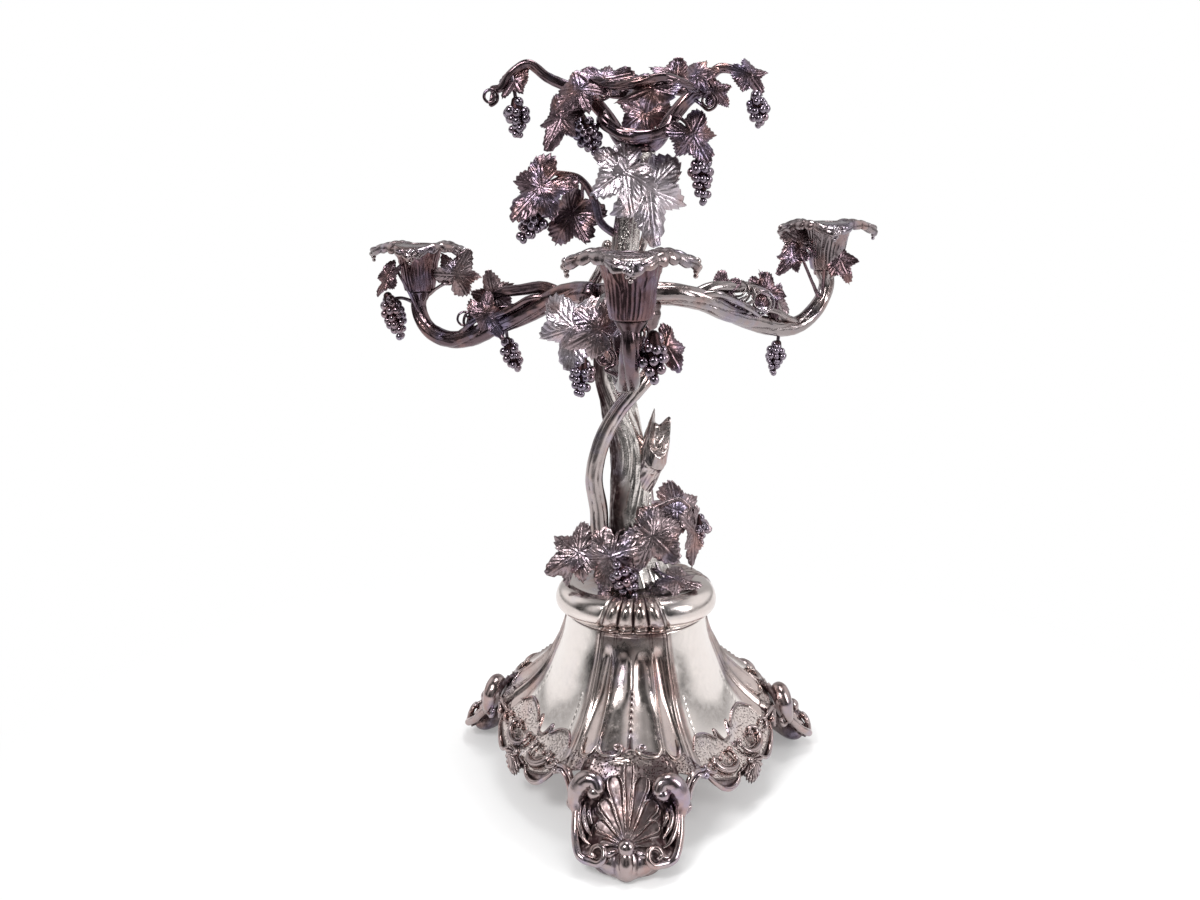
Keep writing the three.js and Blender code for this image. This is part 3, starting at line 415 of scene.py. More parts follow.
def knobbly(seed, size, depth):
    """Soft lumps of a size along a thin limb."""
    def relief(distance, angle):
        rise = depth * noise(triple(np.cos(angle) * 2.2, np.sin(angle) * 2.2, distance / size), seed)
        return rise, np.clip(0.3 - rise / depth, 0, 1) * 0.6
    return relief


# Base
FOOT_PROFILE = np.array([
    # share outwards from the collar, share of the height
    [0, 1], [0.06, 0.81], [0.2, 0.607], [0.35, 0.43], [0.606, 0.256], [0.88, 0.083], [1, 0]])
PANEL_PROFILE = np.array([
    [0, 1], [0.076, 0.805], [0.17, 0.61], [0.305, 0.4], [0.51, 0.203], [0.763, 0.076], [1, 0]])
PANEL_SLOPE = 125
THIRD = 120
DARK_FLUTE_LINES = [
    # degrees from the middle of a foot, half width, depth of the shade
    (14.7, 0.4, 0.3), (12.8, 0.4, 0.25), (27.0, 0.5, 0.6), (23.6, 0.4, 0.25)]
FOOT_GROUND_TOP = [
    # degrees from the middle of a foot, share of the slope at which the stippled ground starts
    (0, 0.80), (2.5, 0.83), (5, 0.865), (7.5, 0.875), (10, 0.865), (12.5, 0.83), (13.4, 0.80), (14.5, 0.815),
    (16, 0.838), (18, 0.845), (20, 0.838), (21.5, 0.815), (23, 0.79), (26, 0.82), (30, 0.87)]
INNER_HOOK = [
    # degrees from the middle of a foot, share of the slope, radius
    (12.7, 0.74, 0.5), (12.6, 0.80, 1.1), (10.8, 0.852, 1.5), (7.6, 0.872, 1.6), (4.7, 0.858, 1.7),
    (3.3, 0.822, 1.7), (3.9, 0.788, 1.5), (5.6, 0.783, 1.3), (6.2, 0.805, 1.2), (5.2, 0.815, 0.9)]
OUTER_HOOK = [
    (13.0, 0.70, 0.4), (14.2, 0.78, 0.8), (16.4, 0.835, 0.9), (18.0, 0.85, 0.9), (20.0, 0.83, 0.9),
    (21.6, 0.77, 0.8), (21.9, 0.70, 0.4)]
HOOK_LIFT = 1.7


def profile_rows(shares, rim_radius, rim_height):
    radius = lerp(DOME_TOP_RADIUS, rim_radius, shares[:, 0])
    height = lerp(rim_height, DOME_HEIGHT, shares[:, 1])
    return np.stack([radius, height], axis=-1)


FOOT_ROWS = profile_rows(FOOT_PROFILE, FOOT_RIM_RADIUS, FOOT_RIM_HEIGHT)
PANEL_ROWS = profile_rows(PANEL_PROFILE, PANEL_RIM_RADIUS, PANEL_RIM_HEIGHT)


def from_foot(azimuth):
    """Degrees from the middle of the nearest foot."""
    return (azimuth - FRONT_FOOT + THIRD / 2) % THIRD - THIRD / 2


def dome_rows(azimuth, share):
    """Radius and height down the slope. The profile of the feet blends into that of the panels."""
    near = (0.5 + 0.5 * np.cos(np.radians(3 * (azimuth - FRONT_FOOT)))) ** 1.2
    return lerp(through(PANEL_ROWS, share), through(FOOT_ROWS, share), near[..., None])


def dome_point(azimuth, share, lift):
    """A point on the skin of the base, raised along the slope of its profile."""
    azimuth, share, lift = np.broadcast_arrays(azimuth, share, lift)
    azimuth = azimuth.astype(float)
    share = share.astype(float)
    here = dome_rows(azimuth, share)
    further, nearer = np.minimum(share + 0.01, 1), np.maximum(share - 0.01, 0)
    slope = unit(dome_rows(azimuth, further) - dome_rows(azimuth, nearer))
    return spot(azimuth, here[..., 0] - lift * slope[..., 1], 0, here[..., 1] + lift * slope[..., 0])


def on_skin(middle, across, up, lift):
    """A point of the base in millimetres: across from a panel's middle and up from its lower rim."""
    across, up, lift = (np.asarray(value, float) for value in (across, up, lift))
    azimuth = middle + np.degrees(across / PANEL_RIM_RADIUS)
    below = np.maximum(-up, 0)
    point = dome_point(azimuth, np.clip(1 - up / PANEL_SLOPE, 0, 1), lift)
    point = point + spot(azimuth, 0.12 * below, 0, 0.0)
    point[..., 2] -= below
    return point


def flute(offset, share, low, high, begin, end):
    """A hollow flute between two angles with a pointed top and a round foot. One in its middle line."""
    across = (offset - low) / (high - low)
    inside = np.clip(1 - np.abs(2 * across - 1) ** 2.4, 0, 1) * ((across > 0) & (across < 1))
    foot = end - 0.05 * np.abs(2 * across - 1) ** 3
    head = begin + 0.06 * np.abs(2 * across - 1) ** 3
    return inside * ease(head - 0.04, head + 0.07, share) * (1 - ease(foot - 0.03, foot + 0.012, share))


def panel_border(turn):
    """How far down the chased border of a panel starts, by the degrees from the panel's middle."""
    tongue = 0.70 - 0.085 * ease(2.0, 7.5, turn)
    lobe = 0.625 + 0.045 * ((turn - 18) / 10) ** 2 + 0.09 * ease(24, 33, turn)
    return np.where(turn < 8.2, tongue, np.maximum(lobe, 0.6))


def beaded_strip(size, share):
    """Rise and darkness of the beaded strip down the middle of a foot's flutes."""
    strip = bump(size, 0, 1.0) * ease(0.25, 0.45, share)
    beads = 0.9 * bump((share * 24) % 1, 0.5, 0.27) * bump(size, 0, 0.8)
    beads = beads * ease(0.42, 0.45, share) * (1 - ease(0.73, 0.75, share))
    dark = 0.9 * strip * (1 - beads) * ease(0.3, 0.45, share) * (1 - ease(0.78, 0.84, share))
    return 0.3 * strip + 1.1 * beads, dark


def fluted(size, share):
    """Rise and darkness over a foot, and where its inner flutes are."""
    outer = flute(size, share, 14.6, 23.4, 0.12, 0.84)
    inner = flute(size, share, 1.1, 12.9, 0.17, 0.865)
    ridge = bump(size, 13.75, 0.6) * ease(0.08, 0.25, share) * (1 - ease(0.82, 0.88, share))
    rise = ridge - 2.3 * outer - 2.4 * inner
    rise = rise + 1.2 * bump(size, 25.0, 1.1) * ease(0.0, 0.2, share)
    rise = rise - 0.9 * bump(size, 27.0, 0.7) * ease(0.0, 0.15, share)
    # The ease near the top is painted shade under the collar.
    dark = 0.12 * np.maximum(outer, inner) + 0.55 * ease(0.17, 0.02, share) * (size < 28)
    for middle, width, depth in DARK_FLUTE_LINES:
        dark = dark + depth * bump(size, middle, width)
    more, shade = beaded_strip(size, share)
    return rise + more, dark + shade, inner


def chased_grounds(turn, size, share, on_panel):
    """The sunken ground below a panel's border, the one below a foot's flutes, and their dark outlines."""
    border = panel_border(turn)
    below = on_panel * ease(border, border + 0.012, share)
    top = np.interp(size, *zip(*FOOT_GROUND_TOP))
    foot_ground = (1 - on_panel) * ease(-0.002, 0.01, share - top)
    outline = 0.75 * bump(share, border + 0.016, 0.009) * on_panel
    return below, foot_ground, outline + 0.6 * bump(share, top, 0.006) * (1 - on_panel)


def dome_relief(azimuth, share):
    """The chased form of the base: its rise, how dark it is, where it is stippled and where polished."""
    offset = from_foot(azimuth)
    size = np.abs(offset)
    turn = np.abs((azimuth - FRONT_FOOT) % THIRD - THIRD / 2)
    edge = 28 + 2 * share
    on_panel = size > edge + 1.5
    rise, dark, inner = fluted(size, share)
    below, foot_ground, outline = chased_grounds(turn, size, share, on_panel)
    stipple = np.clip(below + foot_ground, 0, 1)
    rough = noise(triple(offset * 0.9, share * 75, 0), 4)
    dashes = bump(size, edge + 6.0 + 3.0 * (share - 0.45), 0.6) * ((share * 27) % 1 < 0.6)
    dashes = dashes * (share > 0.42) * (share < 0.64)
    dish = bump(np.hypot((turn - 12.5) / 6.0, (share - 0.855) / 0.062), 0, 0.8) * below
    rise = rise + 1.6 * (1 - ease(25.5, edge + 2.0, size)) + 0.16 * rough * stipple
    rise = rise - 0.8 * below - 0.6 * foot_ground - 0.6 * dashes - 1.2 * dish
    dark = dark + outline + 0.3 * bump(size, edge + 1.6, 0.8) + dashes + 0.7 * dish
    # The last term is painted shade along the panels' lower rim.
    dark = dark + 0.34 * foot_ground + 0.9 * ease(0.965, 1.0, share) * on_panel
    paleness = ease(edge + 2.0, edge + 4.5, size) * (1 - below)
    paleness = np.maximum.reduce([paleness, 0.45 * inner * ease(0.25, 0.5, share), 0.3 * below])
    return rise, np.clip(dark, 0, 1), stipple, np.clip(paleness, 0, 1)


def add_flute_hooks(shape):
    """The rims of the flutes' lower ends. Those of the inner flutes curl towards their foot's middle."""
    for foot, side, rows in itertools.product(FOOT_AZIMUTHS.values(), (-1, 1), (INNER_HOOK, OUTER_HOOK)):
        route = Route([dome_point(foot + side * turn, share, HOOK_LIFT) for turn, share, _ in rows])
        tube(shape, route, [radius for _, _, radius in rows], 12, 0.9)


def build_dome(material):
    """A thin shell: the chased skin outside, a flat flange at its top and a coarser skin inside."""
    columns, rows = 1080, 150
    azimuth = 360 * np.arange(columns) / columns
    turns, share = np.broadcast_arrays(azimuth, even(rows)[:, None])
    rise, dark, stipple, paleness = dome_relief(turns, share)
    outer = dome_point(turns, share, rise * (1 - ease(0.985, 1.0, share)) * ease(0, 0.03, share))
    under = dome_point(turns[::-6], share[::-6], -WALL)
    under[-1] = spot(azimuth, DOME_TOP_RADIUS - WALL, 0, DOME_HEIGHT - WALL)
    lip = spot(azimuth[None], FLANGE_RADIUS, 0, DOME_HEIGHT)
    low = spot(azimuth[None], FLANGE_RADIUS, 0, DOME_HEIGHT - WALL)
    top = spot(azimuth[None], DOME_TOP_RADIUS, 0, DOME_HEIGHT)
    skin = np.concatenate([lip, top, outer, under, low, lip])

    def pad(values, fill):
        above = np.full((2, columns), fill)
        below = np.full((len(under) + 2, columns), fill)
        return np.concatenate([above, values, below])
    shape = Shape()
    faces = grid_faces(len(skin), columns)[:, ::-1]
    shape.add(skin, faces, pad(dark, 0.2), pad(stipple, 0.0), pad(paleness, 0.0))
    add_flute_hooks(shape)
    shape.piece("chased_base", material, "root", "base_dome")


def collar_outline(azimuth):
    """Radius and height of the plain collar from its neck to its top, and the inside from its hole down."""
    near = 0.5 + 0.5 * np.cos(np.radians(3 * (azimuth - FRONT_FOOT)))
    widest = COLLAR_RADIUS * (1 - COLLAR_PINCH * near)
    outside = [
        (DOME_TOP_RADIUS, 0), (DOME_TOP_RADIUS + 0.2, 0.04), (DOME_TOP_RADIUS + 1.0, 0.08),
        (widest - 7.0, 0.14), (widest - 1.4, 0.30), (widest, 0.52), (widest - 2.6, 0.78),
        (widest - 9.5, 0.945),
        (widest - COLLAR_SHOULDER, 0.985), (ROOT_RADIUS, 1.0)]
    inside = [
        (ROD_HOLE_RADIUS, COLLAR_TOP), (ROD_HOLE_RADIUS, COLLAR_TOP - WALL),
        (widest - COLLAR_SHOULDER - 1, COLLAR_TOP - WALL - 1.2), (widest - 8.5, COLLAR_FOOT + 23),
        (widest - 6.6, COLLAR_FOOT + 17), (widest - 9.5, COLLAR_FOOT + 11),
        (DOME_TOP_RADIUS - 2.4, COLLAR_FOOT + 6), (DOME_TOP_RADIUS - WALL, COLLAR_FOOT),
        (DOME_TOP_RADIUS, COLLAR_FOOT)]
    return outside, inside


def build_collar(material):
    """A gadrooned cushion on a short neck, with a bunch of lobes over each foot."""
    columns, rows = 900, 110
    azimuth = 360 * np.arange(columns) / columns
    outside, inside = collar_outline(azimuth)
    radius = through([np.broadcast_to(row[0], columns) for row in outside], even(rows))
    up = np.clip(through([[row[1]] for row in outside], even(rows)), 0, 1)
    share = even(rows)[:, None]
    place = from_foot(azimuth) / lerp(27.5, 18.0, ease(0.1, 0.9, share))
    lobes = np.abs(np.sin(2 * np.pi * (np.clip(place, -1, 1) + 1))) ** 0.6
    over_foot = 1 - ease(0.97, 1.03, np.abs(place))
    between = 1 - over_foot
    swell = ease(0.14, 0.36, share) * (1 - ease(0.84, 0.97, share))
    groove = bump(np.abs(place), 1.05, 0.05)
    rise = swell * (over_foot * (4.6 * lobes - 2.4) + between * (0.9 - 2.4 * groove))
    rise = rise + 0.9 * between * bump(share, 0.27, 0.028)
    rise = rise + over_foot * (1.0 + 2.0 * lobes) * bump(share, 0.155, 0.05)
    dark = swell * (0.9 * over_foot * (1 - ease(0.1, 0.6, lobes)) + 0.7 * groove)
    dark = dark + 0.25 * over_foot * ease(0.3, 0.5, share) + 0.7 * between * bump(share, 0.335, 0.02)
    # The first ease darkens the neck below the cushion as painted shade.
    dark = dark + 0.8 * ease(0.1, 0.04, share) + 0.35 * ease(0.93, 0.97, share)
    rim = 0.45 * bump(share, 0.83, 0.022)
    height = COLLAR_FOOT + np.minimum(up * COLLAR_HEIGHT + rim, COLLAR_HEIGHT)
    outer = spot(azimuth, radius + rise, 0, height)
    skin = np.concatenate([outer, *[spot(azimuth[None], out, 0, level) for out, level in inside]])
    bare = np.zeros((len(inside), columns))
    shade = np.concatenate([dark, bare + 0.3])
    paleness = np.concatenate([0.6 * swell * between, bare])
    shape = Shape()
    shape.add(skin, grid_faces(len(skin), columns), np.clip(shade, 0, 1), 0.0, np.clip(paleness, 0, 1))
    shape.piece("gadrooned_collar", material, "root", "base_collar")


# Feet. A palmette is chased on the sloping face, in millimetres across and up from the knob.
FOOT_SPINE = Route([[out, 0, height] for out, height in (
    (115, 79.8), (120.5, 78.2), (126.5, 73.2), (133.5, 64.5), (141, 54.5), (148.5, 45), (155, 37.5),
    (161.5, 31.5), (168, 27), (174, 22.5), (178, 16.5), (179, 10), (177, 4.5), (172.5, 0.7))])
FOOT_HALVES = [30, 36, 39, 40.5, 41.5, 42, 42, 42, 41, 39.5, 35.5, 30.5, 25, 17]
FOCUS_SHARE = 0.718
FOOT_WALL = 4
PETALS = [
    # how far it leans from upright in degrees, length, half width
    (0, 67, 4.8), (12.8, 56, 7.4), (30, 42, 6.8), (51, 31, 5.6), (78, 21, 3.8)]
PETAL_SWELL = [
    # share of a petal's length, share of its half width
    (0, 0.2), (0.25, 0.3), (0.5, 0.5), (0.7, 0.78), (0.84, 1.0), (0.93, 0.86), (0.98, 0.5), (1.0, 0.05)]
FOOT_EAR = [
    # across, up, proud of the face
    (41, 30, 0), (41.5, 39, 2), (38.5, 47.5, 4), (32, 52, 5.5), (26, 50, 5.5), (24, 45, 5)]
FOOT_EDGE_SCROLL = [
    (40.5, 36, 1), (41, 30, 1.2), (41, 21, 1.5), (40.5, 13, 1.5), (39, 5, 1.5), (36.5, -2.5, 1.8),
    (32.5, -9, 2), (27, -12.5, 2.4), (21, -12, 3), (17.2, -8, 3.6), (17, -2.5, 4), (20.5, 1.2, 4),
    (25, 0.6, 4), (27, -3.5, 3.6), (24.5, -6, 3.2)]
FOOT_SPUR = [(42, 30, -1), (46, 33, -3), (48.5, 37, -4), (47, 41, -3.5), (44, 40, -2.5)]
FOOT_FRONDS = [
    [(37.5, 38, 1), (38.5, 27, 2.4), (36.5, 16, 2.5), (32.5, 8, 2.0), (28.5, 4.5, 0.8)],
    [(33.5, 36, 0), (34.5, 27, 2.2), (32, 17.5, 2.2), (28, 11, 0.8)],
    [(30, 33, 0), (30.5, 27, 1.8), (28, 20, 0.8)]]


def foot_skin(azimuth, x, y, proud=0.0):
    """A point of a foot's face. Its edges fall back from its middle."""
    x, y, proud = np.broadcast_arrays(np.asarray(x, float), np.asarray(y, float), np.asarray(proud, float))
    share = np.clip(FOCUS_SHARE - y / FOOT_SPINE.length, 0, 1)
    spine = FOOT_SPINE.along(even(240))
    slope = unit(np.gradient(spine, axis=0))
    out, height = read(spine[:, 0], share), read(spine[:, 2], share)
    ahead, down = read(slope[:, 0], share), read(slope[:, 2], share)
    part = np.clip(np.abs(x) / read(FOOT_HALVES, share), 0, 1.2)
    on_base = 1 - ease(0.12, 0.4, share)
    fall = (9.0 * part ** 2.6 + 2.5 * part ** 2) * (1 - on_base) + on_base * x ** 2 / 236
    lift = proud - fall
    low = ease(0.78, 0.95, share)
    out = out - down * lift * (1 - low) + lift * low
    height = height + ahead * lift * (1 - low) + 0.25 * np.abs(fall) * low
    return spot(azimuth, out, x, np.maximum(height, 0.0))


def palmette_relief(x, y):
    """Rise and darkness of the palmette: bright rims round hollow dark petals that spring from the knob."""
    x = np.abs(x)
    nearest = np.full(x.shape, 9.0)
    along_it = np.zeros(x.shape)
    for lean, length, half_width in PETALS:
        a = math.radians(lean)
        v = (x * math.sin(a) + (y - 2) * math.cos(a)) / length
        u = x * math.cos(a) - (y - 2) * math.sin(a)
        swell = np.interp(v, *zip(*PETAL_SWELL))
        inside = np.abs(u) / (half_width * swell) + np.where(v > 0.98, 3.0 * (v - 0.98) * length, 0)
        inside = np.where((v < 0.02) | (v > 1.05), 9.0, inside)
        closer = inside < nearest
        nearest = np.where(closer, inside, nearest)
        along_it = np.where(closer, v, along_it)
    hollow = 1 - ease(0.45, 0.78, nearest)
    behind = ease(1.2, 1.6, nearest)
    rise = 2.3 * bump(nearest, 0.84, 0.17) - 1.6 * hollow * ease(0.1, 0.5, along_it) - 1.4 * behind
    dark = 0.55 * hollow + 0.95 * bump(nearest, 1.16, 0.12) + 0.75 * behind
    return rise, np.clip(dark, 0, 1)


def foot_relief(x, y, half):
    """A foot's face: palmette, rolled edges, dark sides, ears and eyes, with the stippled ground on top."""
    rise, dark = palmette_relief(x, y)
    on_face = ease(-4, 3, y)
    toe = 1 - on_face
    side = np.abs(x)
    edge = half - side
    swirl = np.sin(0.42 * y + 0.55 * side)
    in_side = ease(27, 30, side) * ease(2, 6, y) * (1 - ease(32, 38, y))
    ear = bump(np.hypot(side - 31, y - 39), 0, 6.0)
    eye = bump(np.hypot(side - 23, (y + 4.5) * 1.1), 0, 4.6)
    rise = (rise + 2.2 * bump(edge, 3.2, 2.3)) * on_face + 1.3 * swirl * in_side - 4.0 * ear - 2.6 * eye
    rise = rise + (3.0 * bump(x, 0, 5.2) - 0.8 * bump(side, 9.0, 2.0)) * toe
    dark = np.maximum.reduce([
        dark * on_face, 0.85 * bump(edge, 7.0, 1.6) * on_face, in_side * ease(0.2, -0.7, swirl), ear,
        0.85 * eye, 0.6 * bump(side, 8.4, 1.6) * toe * ease(-28, -12, y), 0.5 * ease(-18, -30, y)])
    ground = ease(44, 50, y) * (dark > 0.7) * (side < 34)
    return rise, np.where(ground > 0.5, 0.56, dark), ground


def build_foot(name, azimuth, material):
    """One scrolled foot: its chased face and plain back, its toe, and the scrolls along its edges."""
    columns, rows = 190, 230
    share = even(rows)[:, None]
    half = read(FOOT_HALVES, share)
    x = np.linspace(-1, 1, columns) * half
    y = (FOCUS_SHARE - share) * FOOT_SPINE.length + 0 * x
    rise, dark, ground = foot_relief(x, y, half)
    rise = (rise + 0.25 * noise(triple(x / 5, y / 5, azimuth), 2)) * ease(0.0, 0.03, share)
    back = foot_skin(azimuth, x[:, ::-1] * 0.97, y[:, ::-1], -FOOT_WALL)
    loop = np.concatenate([foot_skin(azimuth, x, y, rise), back], axis=1)
    marks = np.concatenate([dark, np.full_like(dark, 0.75)], axis=1)
    punched = np.concatenate([ground, 0 * ground], axis=1)
    shape = Shape()
    low, high = loop[0].mean(axis=0), loop[-1].mean(axis=0)
    shape.closed(loop, low, high, marks, punched, ends=(0.0, 0.6), flip=True)
    build_toe(shape, azimuth)
    for way in (-1, 1):
        build_foot_edges(shape, azimuth, way)
    shape.piece("scroll_foot_" + name, material, "root", "foot_" + name)


def build_foot_edges(shape, azimuth, way):
    """The ear at the top of a foot's side, the scroll down its edge and the eye beside the knob."""
    def line(points, radii, sides=18):
        rows = [foot_skin(azimuth, way * x, y, proud) for x, y, proud in points]
        tube(shape, Route(rows), radii, sides, 1.0)
    line(FOOT_EAR, [4.4, 7.0, 8.6, 8.8, 7.4, 5.6], 28)
    ball(shape, foot_skin(azimuth, way * 26.5, 42.5, 4.5), 6.2, 14, 24)
    line(FOOT_EDGE_SCROLL, [2.8, 3.2, 3.5, 3.6, 3.6, 3.6, 3.5, 3.4, 3.2, 2.9, 2.6, 2.4, 2.1, 1.9, 1.6])
    line(FOOT_SPUR, [1.3, 1.7, 1.9, 1.7, 1.3], 14)
    for rows in FOOT_FRONDS:
        line(rows, [0.8] + [2.1] * (len(rows) - 2) + [0.8], 14)
    line([(9, -3.0, 1.6), (12.5, -4.5, 2.0), (16, -4.5, 1.6)], [2.0, 2.6, 2.0], 14)


def build_toe(shape, azimuth):
    """The roll behind the toe that the foot stands on, with the knob at its top and the ridge below it."""
    columns, rows = 64, 61
    reach = TOE_HALF_WIDTH + TOE_EXTRA_WIDTH
    roll = TOE_RADIUS - TOE_SINK
    side = np.linspace(-reach, reach, rows)[:, None]
    turn = circle(columns)
    size = roll * np.clip(1 - (np.abs(side) / (reach + 0.3)) ** 3.0, 0.002, 1) ** 0.45
    points = spot(azimuth, TOE_REACH - 5 + size * np.sin(turn), side, roll - size * np.cos(turn))
    shape.closed(points, points[0].mean(axis=0), points[-1].mean(axis=0), 0.5, ends=(0.5, 0.5))
    ball(shape, foot_skin(azimuth, 0.0, -0.5, 3.2), KNOB_RADIUS - 1, 18, 32, 0.98)
    ridge = [(-6, 0.2), (-13, -1.0), (-20, -2.0), (-27, -3.4)]
    route = Route([foot_skin(azimuth, 0.0, y, proud) for y, proud in ridge])
    tube(shape, route, [5.6, 5.8, 5.0, 3.2], 24, 1.0, smooth(0.15))


# Aprons: a ribbed shell between scrolls, hung on the lower rim of the base between the feet
APRON_LINES = [
    # points across and up, radii, proud of the base, sides, darkness: the big crescent beside the shell,
    # the bead inside it, the lower crescent and the small outer scroll
    ([(10.5, 28.5), (9, 23), (11, 16.5), (17, 11.5), (25, 9.5), (33, 10.5), (39.5, 15), (42, 21.5),
      (38.5, 26.5), (33, 25)], [1.2, 1.5, 2.0, 2.5, 2.8, 2.8, 2.5, 2.1, 1.7, 1.4], 1.8, 16, 0.0),
    ([(17, 22), (18, 17.5), (24, 15), (30.5, 16.5), (33, 20)], [0.5, 0.9, 1.1, 0.9, 0.5], 1.2, 12, 0.3),
    ([(19, 4), (25, -4), (34, -8.5), (44, -8), (53, -3), (59, 4)],
     [1.0, 1.8, 2.2, 2.2, 1.8, 1.2], 0.6, 16, 0.0),
    ([(44, 14), (48, 9), (54, 8), (58, 12), (57, 17), (52.5, 18)],
     [0.9, 1.4, 1.7, 1.7, 1.5, 1.2], 1.6, 14, 0.0)]
APRON_BEADS = [
    # across, up, radius
    (10.5, 29, 2.8), (32, 24, 2.5), (62, 1, 2.9), (51.5, 17, 2.0)]


def add_shell(shape, azimuth):
    """The fan of ribs in the middle of an apron, plain at its back, with a bead at its root."""
    ribs, rows = 121, 26
    turn = np.linspace(-1, 1, ribs)[None, :]
    run = even(rows)[:, None]
    angle = turn * math.radians(88)
    fan = 0.5 + 0.5 * np.cos(turn * np.pi * 11)
    reach = 20.5 * (0.9 + 0.1 * fan)
    x = reach * run * np.sin(angle) * 0.86
    y = 8.0 - reach * run * np.cos(angle)
    rise = 1.2 + 2.4 * np.sin(np.pi * 0.9 * run) + 1.5 * (fan - 0.5) * ease(0.1, 0.45, run)
    rise = rise + 1.4 * ease(0.8, 1.0, run)
    dark = 0.95 * (1 - ease(0.1, 0.6, fan)) * ease(0.08, 0.25, run)
    skin = np.concatenate([on_skin(azimuth, x, y, rise), on_skin(azimuth, x[::-1] * 0.97, y[::-1], -0.9)])
    marks = np.concatenate([dark, np.full_like(x, 0.7)])
    seam = np.arange(ribs - 1)
    last = (2 * rows - 1) * ribs + seam
    joint = np.stack([seam, seam + 1, last + 1, last], axis=-1)
    faces = grid_faces(2 * rows, ribs, closed=False)[:, ::-1]
    shape.add(skin, np.concatenate([faces, joint]), np.clip(marks, 0, 1))
    ball(shape, on_skin(azimuth, 0.0, 8.0, 3.6), 3.2, 10, 18)


def build_apron(name, azimuth, material):
    """A ribbed shell with crescents, beads and scrolls beside it, and the border chased over it."""
    shape = Shape()
    add_shell(shape, azimuth)
    for points, radii, proud, sides, shade in APRON_LINES:
        for side in (-1, 1):
            route = Route([on_skin(azimuth, side * x, y, proud) for x, y in points])
            tube(shape, route, radii, sides, 0.9, smooth(shade))
    for side in (-1, 1):
        for x, y, size in APRON_BEADS:
            ball(shape, on_skin(azimuth, side * x, y, 2.4), size, 10, 16)
        add_web(shape, azimuth, side)
    for side in (-1, 1):
        add_end_scroll(shape, azimuth, side)
    for side in (-1, 1):
        turns = np.concatenate([np.linspace(0.2, 8.2, 9), np.linspace(8.6, 30, 20)])
        across = side * np.radians(turns) * PANEL_RIM_RADIUS
        route = Route(on_skin(azimuth, across, PANEL_SLOPE * (1 - panel_border(turns)), 0.5))
        tube(shape, route, [0.8, 0.85, 0.9, 0.95, 0.9, 0.7], 12, 0.9)
    shape.piece("shell_apron_" + name, material, "root", "apron_" + name)


def add_web(shape, azimuth, side):
    """The dark hollow plate behind the scrolls beside the shell."""
    rows, columns = 24, 7
    across = np.linspace(20, 59, rows)[:, None]
    arch = np.sin(np.pi * (across - 19) / 41)
    up = lerp(3.5, -7.8 * arch, even(columns))
    plate = on_skin(azimuth, side * across, up, -1.2 - 1.6 * arch)
    shape.add(plate, grid_faces(rows, columns, closed=False), 0.55)


def add_end_scroll(shape, azimuth, side):
    """The ridged scroll that springs from a foot's side, arches over the gap and curls by the apron."""
    outer = [(82, -24, 4), (81, -14, 4), (77.5, -4, 3), (71.5, 4, 2.4), (64.5, 8.5, 2.0), (58, 12, 1.2)]
    inner = [(78, -22, 3), (76.5, -13, 3), (73, -5, 2.6), (68, 0, 2.4), (63, 0.5, 2.2)]
    for rows, radii in ((outer, [1.6, 2.0, 2.3, 2.4, 2.0, 1.0]), (inner, [1.2, 1.6, 1.8, 1.8, 1.4])):
        route = Route([on_skin(azimuth, side * x, y, proud) for x, y, proud in rows])
        tube(shape, route, radii, 16, 0.9)
    web = []
    for rows in (outer[:5], inner):
        x, y, proud = Route(rows).along(even(14)).T
        web.append(on_skin(azimuth, side * x, y, proud - 0.8))
    shape.add(web, grid_faces(2, 14, closed=False), 0.6)


# Trunk, stump, vine, hub and stem
TRUNK_BENDS = np.array([
    # sideways, share of the height, share of the radius
    [0, 0, 1.95], [-1, 0.06, 1.6], [-2.5, 0.17, 1.35], [-3.5, 0.3, 1.18], [-5, 0.42, 1.05],
    [-9, 0.55, 0.97], [-15, 0.67, 0.97], [-21, 0.8, 1], [-22, 0.9, 1], [-19, 1, 1.03]])
STEM_BENDS = np.array([
    [-14, 0, 1.12], [-12, 0.14, 1.03], [-11, 0.3, 1], [-9, 0.5, 0.96], [-6, 0.68, 0.96], [-2, 0.86, 1.05],
    [0, 1, 1.2]])
TRUNK_LINE = Route([[x, 0, TRUNK_FOOT + up * TRUNK_HEIGHT] for x, up, _ in TRUNK_BENDS])
STEM_LINE = Route([[x, 0, STEM_FOOT + up * STEM_HEIGHT] for x, up, _ in STEM_BENDS])


ROOT_FLARES = [
    # degrees round the trunk, radius, how far out it reaches, how high it starts
    (200, 3.4, 30, 12), (232, 3.0, 33, 9), (262, 3.6, 31, 16), (292, 2.8, 34, 8), (322, 3.3, 32, 13),
    (20, 3.0, 33, 10), (60, 3.4, 31, 12), (110, 3.0, 33, 9), (150, 3.2, 31, 12)]
TORN_RINGS = [
    # share of the radius, how far it sinks, darkness
    (0.9, 0.2, 0.15), (0.78, 1.4, 0.7), (0.6, 2.2, 0.3), (0.4, 2.0, 0.2), (0.2, 2.4, 0.35)]


def trunk_at(share):
    return TRUNK_LINE.at(share)


def stem_at(share):
    return STEM_LINE.at(share)


def off(point, x, y, z=0):
    return np.asarray(point, float) + [x, y, z]


def path(point, offsets):
    return Route([off(point, *offset) for offset in offsets])


def level_limb(shape, bends, foot, height, radius, sides, rows, relief, paleness, punched):
    """A limb whose rings lie level, because it stands between two level faces. Its tone pales its front
    right side, as painted light.
    """
    row = through(bends, np.interp(even(rows), bends[:, 1], even(len(bends))))
    level = foot + np.clip(row[:, 1:2], 0, 1) * height
    level[0], level[-1] = foot, foot + height
    distance, angle = np.broadcast_arrays(level - foot, circle(sides))
    rise, dark = relief(distance, angle)
    # Painted light: the paleness lifts the tone on the limb's front right side.
    tone = paleness * ease(-0.1, 0.75, np.cos(angle + 0.75))
    size = row[:, 2:3] * radius + rise
    upright(shape, (row[:, :1], 0), size, level, np.clip(dark, 0, 1), punched * tone, tone)


